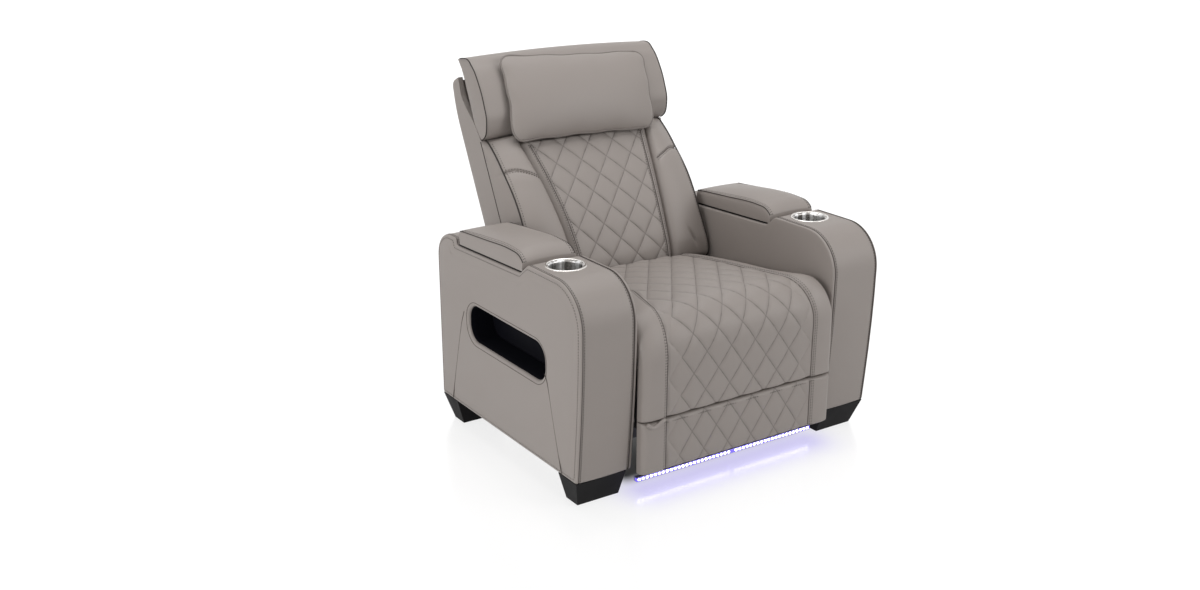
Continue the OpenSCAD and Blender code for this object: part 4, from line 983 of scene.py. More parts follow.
    def seam(self, *points: tuple[float, float]) -> Shape:
        """Painted shade of a seam on the outer face: a thin dark cord on a smooth line through a few points
        in y and z.
        """
        t = np.linspace(0, len(points) - 1, 60)
        y, z = (curve(t, list(range(len(points))), list(values)) for values in zip(*points))
        return tube(PLAN.floor(self.out_x + 0.9, y, z), 0.0011)

    def openings(self) -> list[Shape]:
        """What is cut out of the band: a round hole for the cup and a square one for the bin."""
        turn = np.linspace(0, 2 * np.pi, 64, endpoint=False)
        hole = self.mid_x + self.hole_r * np.cos(turn), self.cup_y + self.hole_r * np.sin(turn)
        (x0, x1), (y0, y1) = self.bin_x, self.bin_y
        square = (x0, x1, x1, x0), (y0, y0, y1, y1)
        return [capped_solid(np.stack([PLAN.floor(*plan, z) for z in levels]))
                for plan, levels in ((hole, (560, 620)), (square, (520, 600)))]

    def build(self) -> None:
        """Makes and dresses the arm's pieces."""
        name, side, covers = side_name(self.side), self.side, {}
        for part, shape in (("outer_panel", self.outer_panel()), ("band", self.band()),
                            ("inner_panel", self.inner_panel())):
            piece = Piece(f"arm_{part}_cover_{name}", "base", (f"arm_{part}_{name}",))
            covers[part] = piece.build(sided(shape, side), LEATHER)
        for opening in self.openings():
            cut_away(covers["band"], sided(opening, side))
        cup = Piece(f"cup_{name}", "base", (f"cup_holder_{name}",), sharp=60)
        cup.build(sided(self.cup(), side), STAINLESS)
        thin_piece(f"cup_rim_{name}", "base", RIM, self.cup_rim(), side=side)
        # Dark strips under the lid's edges: painted shade in the gap under the lid.
        thin_piece(f"lid_rests_{name}", "base", DARK_PLASTIC, self.rests(), side=side)
        outer_x, inner_x = self.out_x - self.outer_t, self.in_x + self.inner_t
        # Dark cords along the band's two seams: painted shade in the seam lines.
        seams = [tube(self.line(0.5, x), 0.0012, True) for x in (outer_x, inner_x)]
        thin_piece(f"arm_piping_{name}", "base", SEAM, *seams, side=side)
        rows = ((9.5, self.out_x - 1.4), (-0.5, outer_x - 5.5), (-0.5, inner_x + 5.5))
        stitches = [thread(self.line(t, x), closed=True) for t, x in rows]
        thin_piece(f"arm_stitches_{name}", "base", THREAD, *stitches, side=side)
        Piece(f"pocket_edge_{name}", "base").build(sided(self.pocket_edge(), side), LINING)
        # Dark cords along the insert's seams and round the pocket's mouth: painted shade in those lines.
        rear = self.seam((575.0, 372.0), (594.0, 325.0), (625.0, 215.0), (662.0, 80.0))
        fore = self.seam((148.0, 330.0), (132.0, 300.0), (105.0, 200.0), (71.0, 80.0))
        mouth = resampled(self.mouth(self.lip + 2.5, self.eased()), 3.0, True)
        lip = tube(self.loops([(mouth, self.out_x + 0.3)])[0], 0.0008, True)
        thin_piece(f"arm_insert_seams_{name}", "base", SEAM, rear, fore, lip, side=side)


# Lids


@dataclass(frozen=True)
class Lid:
    """Padded lid of one arm: wedge with a boxed side, piped edge and double stitching."""

    side: int
    front_y: float = RECESS_Y[0]
    length: float = 340.0
    half: float = 79.5
    mid_x: float = ARM_MID_X
    gap: float = 4.0
    board: float = 12.4
    edge_h: float = 46.0
    crown: float = 20.0
    hem: float = 3.1

    def low(self, y: Array) -> Array:
        """Level of the pad's underside at a place along the arm: the recess, a gap and the board."""
        return recess_z(y) + self.gap + self.board

    def height(self, u: Array, s: Array) -> Array:
        """Height over the underside: a smooth rise over the front, a crown along and across.

        Args:
            u: share of the length from the front.
            s: share of the half width, from -1 to 1.

        Returns:
            The height in millimetres.
        """
        rise = curve(u, [0, 0.02, 0.05, 0.09, 0.15, 0.6, 1], [0.42, 0.60, 0.82, 0.97, 1.04, 1.0, 0.88])
        swell = self.crown * np.sin(np.pi * np.clip(u * 0.88 + 0.09, 0, 1)) * (1 - np.abs(s) ** 2.4)
        return (self.edge_h - self.board) * rise + swell * (1 - 0.25 * u)

    def build(self) -> None:
        """Makes and dresses the lid: the pad's sides and front reach down round the board as a skirt."""
        name = side_name(self.side)
        x, fx = rounded(40, self.half, 40.0, 6.0)
        v, fy = rounded(72, self.length / 2, 36.0, 7.0)
        y = v + self.front_y + self.length / 2
        yy, xx = np.meshgrid(y, x, indexing="ij")
        share = fy[:, None] * fx[None, :]
        u, s = (yy - self.front_y) / self.length, xx / self.half
        low, at_rear = self.low(yy), yy > self.front_y + self.length - 0.01
        base = np.where(at_rear, low, low - self.board + 2.0)
        side_bulge = 1.6 * np.sin(np.pi * share) * np.sign(xx) * (np.abs(s) > 0.999)
        front = PLAN.floor(self.mid_x + xx + side_bulge, yy, base + (low + self.height(u, s) - base) * share)
        outer, rim = np.ones_like(at_rear), np.ones_like(at_rear)
        outer[1:-1, 1:-1] = False
        rim[2:, 2:-2] = False
        inner = self.half - self.hem
        rear_x = self.mid_x + np.where(outer, xx, np.clip(xx, -inner, inner))
        rear_y = np.where(outer, yy, np.maximum(yy, self.front_y + self.hem))
        shape = pillow_solid(front, PLAN.floor(rear_x, rear_y, np.where(outer | rim, base, low)))
        pad = Piece(f"lid_cushion_{name}", f"lid_{name}", (f"lid_pad_{name}",), fill=0.8)
        pad.build(sided(shape, self.side), LEATHER)
        run = np.linspace(self.front_y + 1.0, self.front_y + self.length - 1.5, 140)
        u, end = (run - self.front_y) / self.length, np.interp(run, y, fy)
        pipes, rows = [], []
        for s in (-1, 1):
            edge = self.low(run) + self.height(u, np.full_like(u, s)) * end
            pipes.append(tube(PLAN.floor(self.mid_x + s * (self.half - 1.0), run, edge - 0.9), 0.0014))
            for inset in (5.5, 10.5):
                top = self.low(run) + self.height(u, np.full_like(u, 1 - inset / self.half)) * end
                rows.append(thread(PLAN.floor(self.mid_x + s * (self.half - inset), run, top)))
        thin_piece(f"lid_piping_{name}", f"lid_{name}", PIPING, *pipes, side=self.side)
        thin_piece(f"lid_stitches_{name}", f"lid_{name}", THREAD, *rows, side=self.side)


# Seat and leg rest

QUILT_COLUMNS = 2 * 96 + 1
ROW_STEPS = 8
UNQUILTED = 500.0


@dataclass(frozen=True)
class Quilt:
    """Diamond quilting in quarters of a diamond, and the depth of its grooves."""

    quarter: float = 20.0
    back_quarter: float = 21.7
    back_row: float = 25.3
    depth: float = 5.0

    def height(self, a: Array, b: Array) -> Array:
        """How far the surface falls towards the seams: nothing at a diamond's middle, the depth in a seam.

        The fall is one minus a low power of the product of two sines, which are nothing where the sum or the
        difference of the counts is a multiple of four.
        """
        puff = np.abs(np.sin(np.pi * (a + b) / 4) * np.sin(np.pi * (a - b) / 4))
        return self.depth * (1 - puff ** 0.42)

    def faces(self, a: Array, b: Array, offset: int) -> list[list[int]]:
        """Triangles of a grid, each cell cut along the seam nearest to it.

        Args:
            a, b: the counts at the grid's points.
            offset: number of the grid's first point.

        Returns:
            Faces of three corners.
        """
        rows, cols = a.shape
        quad = np.array(cells(rows, cols)).reshape(rows - 1, cols - 1, 4) + offset
        am, bm = (0.25 * (g[1:, 1:] + g[:-1, :-1] + g[1:, :-1] + g[:-1, 1:]) for g in (a, b))
        rising = np.abs(np.sin(np.pi * (am - bm) / 4)) < np.abs(np.sin(np.pi * (am + bm) / 4))
        p, q, r, s = (quad[..., k] for k in range(4))
        one = np.where(rising[..., None], np.stack([p, q, r], -1), np.stack([p, q, s], -1))
        two = np.where(rising[..., None], np.stack([p, r, s], -1), np.stack([q, r, s], -1))
        return one.reshape(-1, 3).tolist() + two.reshape(-1, 3).tolist()


def quilted_solid(front: Array, rear: Array, a: Array, b: Array, quilt: Quilt) -> tuple[Shape, Array]:
    """A padded solid whose front grid is cut along its quilting.

    Args:
        front, rear: grids of points of one size that share their outer ring.
        a, b: quilting counts at the grid's points.
        quilt: the quilting.

    Returns:
        The shape, and the pattern's two counts for each point.
    """
    points, faces = pillow_solid(front, rear)
    half = len(faces) // 2
    uv = np.stack([a, b], -1).reshape(-1, 2)
    return (points, quilt.faces(a, b, 0) + faces[half:]), np.concatenate([uv, uv + [1000.0, 0.0]])


@dataclass(frozen=True)
class Seat:
    """Seat cover that runs from the seat over the front roll to the leg rest, its core, and the lower pad."""

    half: float = 318.0
    field: float = 244.0
    taper: float = 33.0
    front: float = -35.0
    roll_y: float = 65.0
    roll_z: float = 370.0
    roll_r: float = 100.0
    crease_z: float = 211.6
    rear_y: float = 498.0
    crown: float = 15.0
    puff: float = 8.0
    fall: float = 27.0
    thick: float = 27.0
    low_z: float = 343.0
    soft: float = 16.0
    slope: float = 40.0
    core_y: float = 92.0
    seam_run: float = 180.0
    groove: float = 3.4
    puff_run: float = 386.0
    puff_reach: float = 299.0
    fall_run: float = 290.0
    fall_reach: float = 120.0
    bolster: float = 4.5
    bulge: float = 7.0
    bulge_run: float = 262.0
    bulge_reach: float = 55.0
    row_counts: tuple[int, ...] = (0, 6, 12, 28)

    @property
    def rise(self) -> float:
        """Length of the cover's line up the leg rest, as far as the roll."""
        return self.roll_z - self.crease_z

    @property
    def over(self) -> float:
        """Length of the cover's line round the roll."""
        return self.roll_r * np.pi / 2

    @property
    def total(self) -> float:
        """Length of the whole line."""
        return self.rise + self.over + self.rear_y - self.roll_y

    def seat_z(self, y: Array) -> Array:
        """Level of the seat's top behind the roll: a fall that grows with the 1.6th power of the way back."""
        u = np.clip((y - self.roll_y) / (self.rear_y - self.roll_y), 0, None)
        return self.roll_z + self.roll_r - self.slope * u ** 1.6

    def path(self, run: Array) -> tuple[Array, Array, Array, Array, Array]:
        """The cover's line seen from the side: up the leg rest, round a quarter circle, back over the seat.

        Args:
            run: distance along the line from the crease.

        Returns:
            y, z, the outward normal's y and z, and the share of the seat's crown there.
        """
        angle = np.clip((run - self.rise) / self.roll_r, 0, np.pi / 2)
        back = np.clip(run - self.rise - self.over, 0, None)
        y = self.roll_y - self.roll_r * np.cos(angle) + back
        z = np.where(run < self.rise, self.crease_z + run, self.roll_z + self.roll_r * np.sin(angle))
        z = np.where(back > 0, self.seat_z(y), z)
        return y, z, -np.cos(angle), np.sin(angle), np.sin(angle) ** 1.2

    def rows(self, run: Array) -> Array:
        """Rows of the quilting along the line, counted as in the part's source."""
        return np.interp(run, [0, self.rise, self.rise + self.over, self.total], self.row_counts)

    def seam(self, run: Array) -> Array:
        """Place across of the seam beside the quilting: straight in front, drawing in over the top."""
        drawn = np.clip((run - self.seam_run) / self.seam_run, 0, 1.45)
        return self.field - self.taper * drawn ** 1.5

    def shaped(self, x: Array, run: Array, b: Array, crown: Array) -> Array:
        """How far the surface stands out along its normal at a place across and along.

        A crown across and a swelling over the roll, less the quilting inside the seam, a narrow dip at the
        seam, and outside it a bolster that falls away, by more on top than in front.

        Args:
            x: place across.
            run: distance along the line, below 0 on the lower pad.
            b: row of the quilting.
            crown: share of the crown.

        Returns:
            The height in millimetres.
        """
        beyond = np.abs(x) - self.seam(run)
        side = np.clip(beyond / (self.half - self.seam(run)), 0, 1)
        inside = np.clip(-beyond / 7.0, 0, 1)
        swell = self.puff * bell(run - self.puff_run, self.puff_reach) * (1 - (x / self.half) ** 4)
        fall = self.fall * crown * (0.15 + 0.85 * np.clip((run - self.fall_run) / self.fall_reach, 0, 1))
        fullness = self.bolster + self.bulge * bell(run - self.bulge_run, self.bulge_reach)
        bolster = fullness * np.sin(np.pi * side) ** 0.8 - fall * side ** 1.2
        return (self.crown * crown * (1 - (x / self.half) ** 2) + swell + 1.5
                - self.groove * bell(beyond, 4.0) - inside * QUILT.height(x / QUILT.quarter, b) + bolster)

    def beside(self, run: Array, line: tuple, normal: tuple, b: Array, crown: Array, off: float,
               lift: float) -> list[Array]:
        """A line on both sides of the cover, at a distance outside the seam.

        Args:
            run, line, normal, b, crown: distance, y and z, normal, quilting row and crown along it.
            off: distance outside the seam.
            lift: height over the surface.

        Returns:
            The left and the right line in metres.
        """
        place = self.seam(run) + off
        d = self.shaped(place, run, b, crown) + lift
        y, z = line[0] + normal[0] * d, line[1] + normal[1] * d
        return [PLAN.floor(side * place, y, z) for side in (-1, 1)]

    def trim(self, name: str, data: tuple, body: str) -> list[bpy.types.Object]:
        """A dark cord in the seam beside the quilting, painted shade in its line, and two rows of stitches,
        as two pieces.
        """
        # The dark cords are painted shade in the seam lines.
        seams = [tube(line, 0.0009) for line in self.beside(*data, 0.4, 0.4)]
        rows = [thread(line) for off in (5.0, 10.0) for line in self.beside(*data, off, 0.1)]
        return [thin_piece(f"{name}_piping", body, SEAM, *seams),
                thin_piece(f"{name}_stitches", body, THREAD, *rows)]

    def cover(self) -> None:
        """The quilted cover over the seat, the roll and the upper part of the leg rest."""
        run = np.linspace(0, self.total, self.row_counts[-1] * ROW_STEPS + 1)
        x, fx = rounded(QUILT_COLUMNS, self.half, self.thick + self.crown, self.soft)
        y, z, ny, nz, crown = self.path(run)
        end = np.sqrt(np.clip(1 - (1 - np.clip(run / 9.0, 0, 1)) ** 2, 0, 1))
        end = end * np.clip((self.total - run) / 12.0, 0, 1) ** 0.5
        b = self.rows(run)
        rr, xx = np.meshgrid(run, x, indexing="ij")
        out = self.shaped(xx, rr, self.rows(rr), crown[:, None])
        depth = (self.thick + out) * fx[None, :] * end[:, None] - self.thick
        grid = [PLAN.floor(xx, y[:, None] + ny[:, None] * d, z[:, None] + nz[:, None] * d)
                for d in (depth, np.full_like(depth, -self.thick))]
        a = np.where(np.abs(xx) < self.seam(rr), xx / QUILT.quarter, UNQUILTED)
        shape, uv = quilted_solid(grid[0], grid[1], a, np.broadcast_to(b[:, None], a.shape), QUILT)
        obj = Piece("seat_cover", "", ("chaise_roll", "leg_pad_upper"), fill=0.75).build(shape, QUILTED, uv)
        line = np.linspace(3, self.total - 8, 260)
        y, z, ny, nz, crown = self.path(line)
        trim = self.trim("seat", (line, (y, z), (ny, nz), self.rows(line), crown), "")
        start = PLAN.floor(0, self.roll_y, self.roll_z + self.roll_r)
        stop = PLAN.floor(0, self.front, self.roll_z)
        for piece in [obj] + trim:
            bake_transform(piece)

    def core(self) -> None:
        """The foam block under the cover, wrapped in plain leather."""
        y = np.linspace(self.core_y, self.rear_y - 1, 60)
        top = self.seat_z(y) - self.thick - 0.6
        yy, xx = np.meshgrid(y, (self.half - 3.0) * np.linspace(-1, 1, 41), indexing="ij")
        loops = np.concatenate([PLAN.floor(xx, yy, top[:, None]), PLAN.floor(xx, yy, self.low_z)[:, ::-1]], 1)
        Piece("seat_core", "seat", ("seat_cushion",), fill=0.9).build(capped_solid(loops), LEATHER)

    def lower_pad(self) -> None:
        """Lower pad of the leg rest, pinched where it meets the crease and its own hem."""
        low, high, thick, rows = 68.0, self.crease_z - 1.0, 27.5, 5
        span = high - low
        z, fz = rounded(rows * ROW_STEPS + 1, span / 2, thick, 9.0)
        z = z + (low + high) / 2
        x, fx = rounded(QUILT_COLUMNS, self.half, thick, self.soft * 0.8)
        zz, xx = np.meshgrid(z, x, indexing="ij")
        b, below = 1 + (zz - low) / span * rows, np.full_like(zz, -1.0)
        depth = (thick + self.shaped(xx, below, b, 0 * zz)) * fx[None, :] * fz[:, None]
        rear_y = self.front + thick
        a = np.where(np.abs(xx) < self.field, xx / QUILT.quarter, UNQUILTED)
        shape, uv = quilted_solid(PLAN.floor(xx, rear_y - depth, zz), PLAN.floor(xx, rear_y, zz), a, b, QUILT)
        Piece("leg_cushion_lower", "leg_rest", ("leg_pad_lower",), fill=0.75).build(shape, QUILTED, uv)
        line = np.linspace(low + 6, high - 6, 60)
        flat = np.full_like(line, rear_y - thick)
        b = 1 + (line - low) / span * rows
        self.trim("leg", (np.full_like(line, -1.0), (flat, line), (-1.0, 0.0), b, 0 * line), "leg_rest")
        fold = np.linspace(0, 1, 30)
        fold_x = 54 * fold - (self.half - 10.0)
        fold_y = rear_y - thick - 5.0 - 3.0 * np.sin(np.pi * fold)
        fold_z = high + 2.0 - 21 * np.sin(np.pi * fold) * (1 - fold)
        roll = tube(PLAN.floor(fold_x, fold_y, fold_z), 0.0056, sides=10)
        thin_piece("leg_fold", "leg_rest", LEATHER, roll)
        hem = PLAN.floor(np.linspace(-self.half + 24, self.half - 24, 160), rear_y - thick - 1.2, high - 9.0)
        thin_piece("crease_stitches", "leg_rest", THREAD, thread(hem))

    def build(self) -> None:
        """Makes and dresses the seat and the leg rest."""
        self.cover()
        self.core()
        self.lower_pad()


QUILT = Quilt()


# Back and headrest


@dataclass(frozen=True)
class Back:
    """Back: quilted middle cushion, two wings, shell and flap behind them."""

    low: float = -18.0
    top: float = 404.0
    lip: float = 20.0
    rear_v: float = -21.3
    half: float = 318.0
    field_x: float = 150.0
    spread: float = 44.0
    depth: float = 80.0
    thinning: float = 28.8
    border: float = 26.0
    valley: float = 14.0
    pipe_x: float = 303.0
    flare: float = 12.0
    wing_top: float = 446.0
    wing_gap: float = 0.4
    shell_half: float = 316.0
    shell_low: float = 60.0
    shell_top: float = 631.0
    shell_v: float = 93.0
    shell_crown: float = 46.5
    shell_t: float = 15.0
    shell_corner: float = 24.0
    bend_w: float = 520.0
    bend_r: float = 411.0
    round_r: float = 20.0
    side_steps: int = 11
    corner_steps: int = 9
    flap_low: float = -115.0
    flap_top: float = 59.7
    flap_half: float = 288.0
    flap_t: float = 7.6

    def share(self, w: Array) -> Array:
        """Share of the cushion's height at a level."""
        return np.clip((w - self.low) / (self.top - self.low), 0, 1)

    def field(self, w: Array) -> Array:
        """Half width of the quilted field: widening with the 1.8th power of the height."""
        return self.field_x + self.spread * self.share(w) ** 1.8

    def edge(self, w: Array) -> Array:
        """Half width of the middle cushion."""
        return self.field(w) + self.border * (0.7 + 0.3 * self.share(w))

    def deep(self, w: Array) -> Array:
        """Depth of the middle cushion: thinning upwards, with a smooth swelling on it."""
        u = np.clip((w - self.low) / (self.top + self.lip - self.low), 0, 1)
        swell = curve(w, [-18, 30, 100, 200, 290, 350, 404], [6, 20, 25, 24, 16, 8, 0])
        return self.depth - self.thinning * u ** 1.5 + swell

    def pipe(self, w: Array) -> Array:
        """Place across of a wing's piping: straight, then flaring out over its lowest part."""
        return self.pipe_x + self.flare * np.clip((150 - w) / 130, 0, 1) ** 1.3

    def middle(self) -> None:
        """Quilted middle cushion: its quilted field, a seam beside it, and a plain border that falls away."""
        w, fw = ends(self.low, self.top + self.lip, 20.0, 16.0, 150)
        s, fs = rounded(QUILT_COLUMNS, 1.0, 1.0, 0.03)
        ww, ss = np.meshgrid(w, s, indexing="ij")
        x = ss * self.edge(ww)
        a, b = x / QUILT.back_quarter, (ww - self.low) / QUILT.back_row
        beyond = np.abs(x) - self.field(ww)
        inside = np.clip(-beyond / 6.0, 0, 1)
        side = np.clip((beyond - 4.0) / (self.edge(ww) - self.field(ww) - 4.0), 0, 1)
        fall = self.valley * side ** 1.25
        out = self.deep(ww) + 3.0 - inside * QUILT.height(a, b) - 3.2 * bell(beyond, 3.2) - fall
        out = out * fs[None, :] * fw[:, None]
        front = PLAN.back(x, self.rear_v - out, ww)
        rear = PLAN.back(x, np.full_like(x, self.rear_v), np.where(out > 0.01, np.minimum(ww, self.top), ww))
        shape, uv = quilted_solid(front, rear, np.where(inside > 0, a, UNQUILTED), b, QUILT)
        Piece("back_cushion_cover", "back", ("back_cushion",), fill=0.75).build(shape, QUILTED, uv)
        run = np.linspace(self.low + 14, self.top - 2, 160)
        rows, seams = [], []
        for side in (-1, 1):
            v = self.rear_v - self.deep(run) - 3.2
            rows += [thread(PLAN.back(side * (self.field(run) + off), v + 0.6, run)) for off in (-5.5, 6.0)]
            # A dark cord along the field's seam: painted shade in the seam line.
            seams.append(tube(PLAN.back(side * (self.field(run) + 0.6), v + 2.2, run), 0.0011))
        thin_piece("back_stitches", "back", THREAD, *rows)
        thin_piece("back_seams", "back", SEAM, *seams)

    def wing_front(self, w: Array) -> Array:
        """Place of the wing's piped front edge: a smooth line through the levels where it was measured."""
        return curve(w, [-18, 20, 80, 141, 194, 250, 290, 338, 373, 399, 430, 446],
                     [-86, -103, -113, -117, -116, -108, -97, -80, -68, -57, -41, -31])

    def wing_depth(self, s: Array, w: Array) -> Array:
        """Depth of a wing over its rear plane, before its ends are rounded.

        A quarter circle rises out of the valley beside the middle cushion, a line of the 0.8th power leads to
        the piped edge, and a sine swells between them. The cross seam dips by a narrow bell, with a fuller
        part under it.

        Args:
            s: share of the way out from the middle cushion to the piping.
            w: level.

        Returns:
            The depth in millimetres.
        """
        window = np.clip(np.minimum(w - self.low, self.wing_top - w) / 60.0, 0, 1) ** 0.6
        valley = np.maximum(self.deep(w) - self.valley, 8.0)
        outer = self.rear_v - self.wing_front(w)
        line = self.deep(w) + 4.0 + (outer - self.deep(w) - 4.0) * s ** 0.8
        seam = w - self.cross_seam(s)
        swell = 13.0 * np.sin(np.pi * s ** 0.75) + 2.5 * bell(seam + 24, 26.0) - 6.5 * bell(seam, 4.2)
        full = line + window * swell
        pucker = 10.0 * bell(s - 0.72 + 0.003 * w, 0.05) * bell(w - 46, 24.0)
        roll = np.clip(s * (self.pipe(w) - self.edge(w)) / 15.0, 0, 1)
        return (valley + (full - valley) * np.sqrt(np.clip(1 - (1 - roll) ** 2, 0, 1))
                - 2.5 * bell(1 - s, 0.03) - pucker)

    def cross_seam(self, s: Array) -> Array:
        """Level of the curved cross seam: a smooth arch that rises outwards and is level at the piping."""
        return curve(s, [0, 0.08, 0.4, 0.62, 0.85, 1], [296, 303, 321, 331, 333, 331])

    def wing_x(self, s: Array, w: Array) -> Array:
        """Place across for a share of the way out from the middle cushion to a wing's piping."""
        start = self.edge(w) + self.wing_gap
        return start + (self.pipe(w) - start) * s

    def wing(self, side: int) -> None:
        """One wing: a bolster out of the valley to its piped edge, then a gusset back to the shell."""
        w, fw = ends(self.low, self.wing_top, 18.0, 14.0, 120)
        s = 1 - np.cos(np.linspace(0, np.pi / 2, 12)[:9])
        s = np.concatenate([s[:8] * 0.3 / s[8], np.linspace(0.3, 1, 34)])
        ww, ss = np.meshgrid(w, s, indexing="ij")
        out = np.maximum(self.wing_depth(ss, ww), 1.0)
        out[:, 0] = 0.0
        back = np.linspace(0, 1, 12)[None, 1:]
        pipe = self.pipe(w)[:, None]
        gusset_x = pipe + (self.half - pipe) * np.sin(back * np.pi / 2)
        x = side * np.concatenate([self.wing_x(ss, ww), gusset_x], 1)
        depth = np.concatenate([out, out[:, -1:] * (1 - back)], 1) * fw[:, None]
        front, rear = (PLAN.back(x, self.rear_v - d, w[:, None]) for d in (depth, 0.0))
        name = side_name(side)
        cover = Piece(f"wing_cover_{name}", "back", (f"wing_{name}",), fill=0.8)
        cover.build(pillow_solid(front, rear), LEATHER)
        run = w[4:-3]
        edge_v = self.rear_v - (self.rear_v - self.wing_front(run) - 1.2) * fw[4:-3]
        pipes = [tube(PLAN.back(side * (self.pipe(run) + 0.6), edge_v, run), 0.0022),
                 tube(PLAN.back(side * (self.half + 0.3), self.rear_v - 0.5, run), 0.0012)]
        thin_piece(f"wing_piping_{name}", "back", PIPING, *pipes)
        self.wing_seams(side)

    def wing_seams(self, side: int) -> None:
        """The stitches of one wing, and a dark cord along its cross seam, painted shade in that seam."""
        across = np.linspace(0.10, 0.985, 60)
        lines = []
        for off, lift in ((-5.0, 0.2), (5.0, 0.2), (0.0, 0.3)):
            level = self.cross_seam(across) + off
            v = self.rear_v - self.wing_depth(across, level) - lift
            lines.append(PLAN.back(side * self.wing_x(across, level), v, level))
        run, inset = np.linspace(14, self.wing_top - 20, 140), 7.0
        v = self.rear_v - self.wing_depth(1 - inset / (self.pipe(run) - self.edge(run)), run) - 0.2
        rows = [*lines[:2], PLAN.back(side * (self.pipe(run) - inset), v, run)]
        thin_piece(f"wing_stitches_{side_name(side)}", "back", THREAD, *[thread(row) for row in rows])
        thin_piece(f"wing_cross_seam_{side_name(side)}", "back", SEAM, tube(lines[2], 0.0009))

    def shell_rear(self, x: Array, w: Array) -> Array:
        """Rear face of the shell: crowned across, bent forward above a level, rounded over at its top."""
        bend = np.clip(w, self.bend_w, self.shell_top) - self.bend_w
        over = np.clip(w - self.shell_top, 0, self.round_r)
        return (self.shell_v + self.shell_crown * (1 - (x / self.shell_half) ** 2)
                - (self.bend_r - np.sqrt(self.bend_r ** 2 - bend ** 2))
                - (self.round_r - np.sqrt(self.round_r ** 2 - over ** 2)))

    def shell_rim(self, w: Array) -> Array:
        """Front edge of the shell's side: close behind the wing, then sweeping back beside the headrest."""
        wide = curve(w, [60, 430, 448, 518, 560, 591, 651], [-20.7, -20.7, -19, 0, 18, 27, 20])
        return np.minimum(wide, self.shell_rear(self.shell_half, w) - 27.0)

    def shell_line(self, w: Array, t: float) -> Array:
        """The shell's line across at a depth under its surface: a side, its corner, the rear, and back.

        Args:
            w: levels.
            t: depth under the surface.

        Returns:
            Its x and v along the last axis, for each level and each place along the line.
        """
        sweep = np.linspace(0, 1, self.side_steps + 1)[None, :-1]
        turn = np.linspace(0, np.pi / 2, self.corner_steps)[None, :]
        rim, half, corner = self.shell_rim(w)[:, None], self.shell_half - t, self.shell_corner
        rear = self.shell_rear(self.shell_half - corner, w)[:, None] - t
        room = np.minimum(corner, rear - rim - 2)
        side = rim + (rear - room - rim) * sweep
        cross = np.linspace(half - corner, corner - half, 60)[None, 1:-1]
        x = np.concatenate([np.full(side.shape, half), half - corner * (1 - np.cos(turn)) + 0 * room], 1)
        v = np.concatenate([side, rear - room * (1 - np.sin(turn))], 1)
        x = np.concatenate([x, cross + 0 * room, -x[:, ::-1]], 1)
        v = np.concatenate([v, self.shell_rear(cross, w[:, None]) - t, v[:, ::-1]], 1)
        return np.stack([x, v], -1)

    def shell(self) -> None:
        """Shell: a thick cover bent round the back, from one rim over the rear to the other."""
        over = self.shell_top + self.round_r * np.sin(np.linspace(0, 1.45, 9)[1:])
        w = np.concatenate([np.linspace(self.shell_low, self.shell_top, 90), over])
        outer, inner = self.shell_line(w, 0.0), self.shell_line(w, self.shell_t)
        loop = np.concatenate([outer, inner[:, ::-1]], 1)
        loops = PLAN.back(loop[..., 0], loop[..., 1], w[:, None])
        Piece("shell_cover", "back", ("back_shell",), sharp=50).build(capped_solid(loops), LEATHER)
        x, v = outer[:, self.side_steps + self.corner_steps - 1].T
        pipes = [tube(PLAN.back(side * x, v + 0.4, w), 0.0016) for side in (-1, 1)]
        thin_piece("shell_piping", "back", PIPING, *pipes)

    def flap(self) -> None:
        """Flap that closes the back under the shell."""
        ww, xx = np.meshgrid(np.linspace(self.flap_low, self.flap_top, 40),
                             np.linspace(-self.flap_half, self.flap_half, 60), indexing="ij")
        v = self.shell_rear(xx, ww)
        loops = np.concatenate([PLAN.back(xx, v, ww), PLAN.back(xx, v - self.flap_t, ww)[:, ::-1]], 1)
        Piece("flap_cover", "back", ("back_flap",)).build(capped_solid(loops), LEATHER)

    def build(self) -> None:
        """Makes and dresses the back."""
        self.middle()
        self.wing(1)
        self.wing(-1)
        self.shell()
        self.flap()


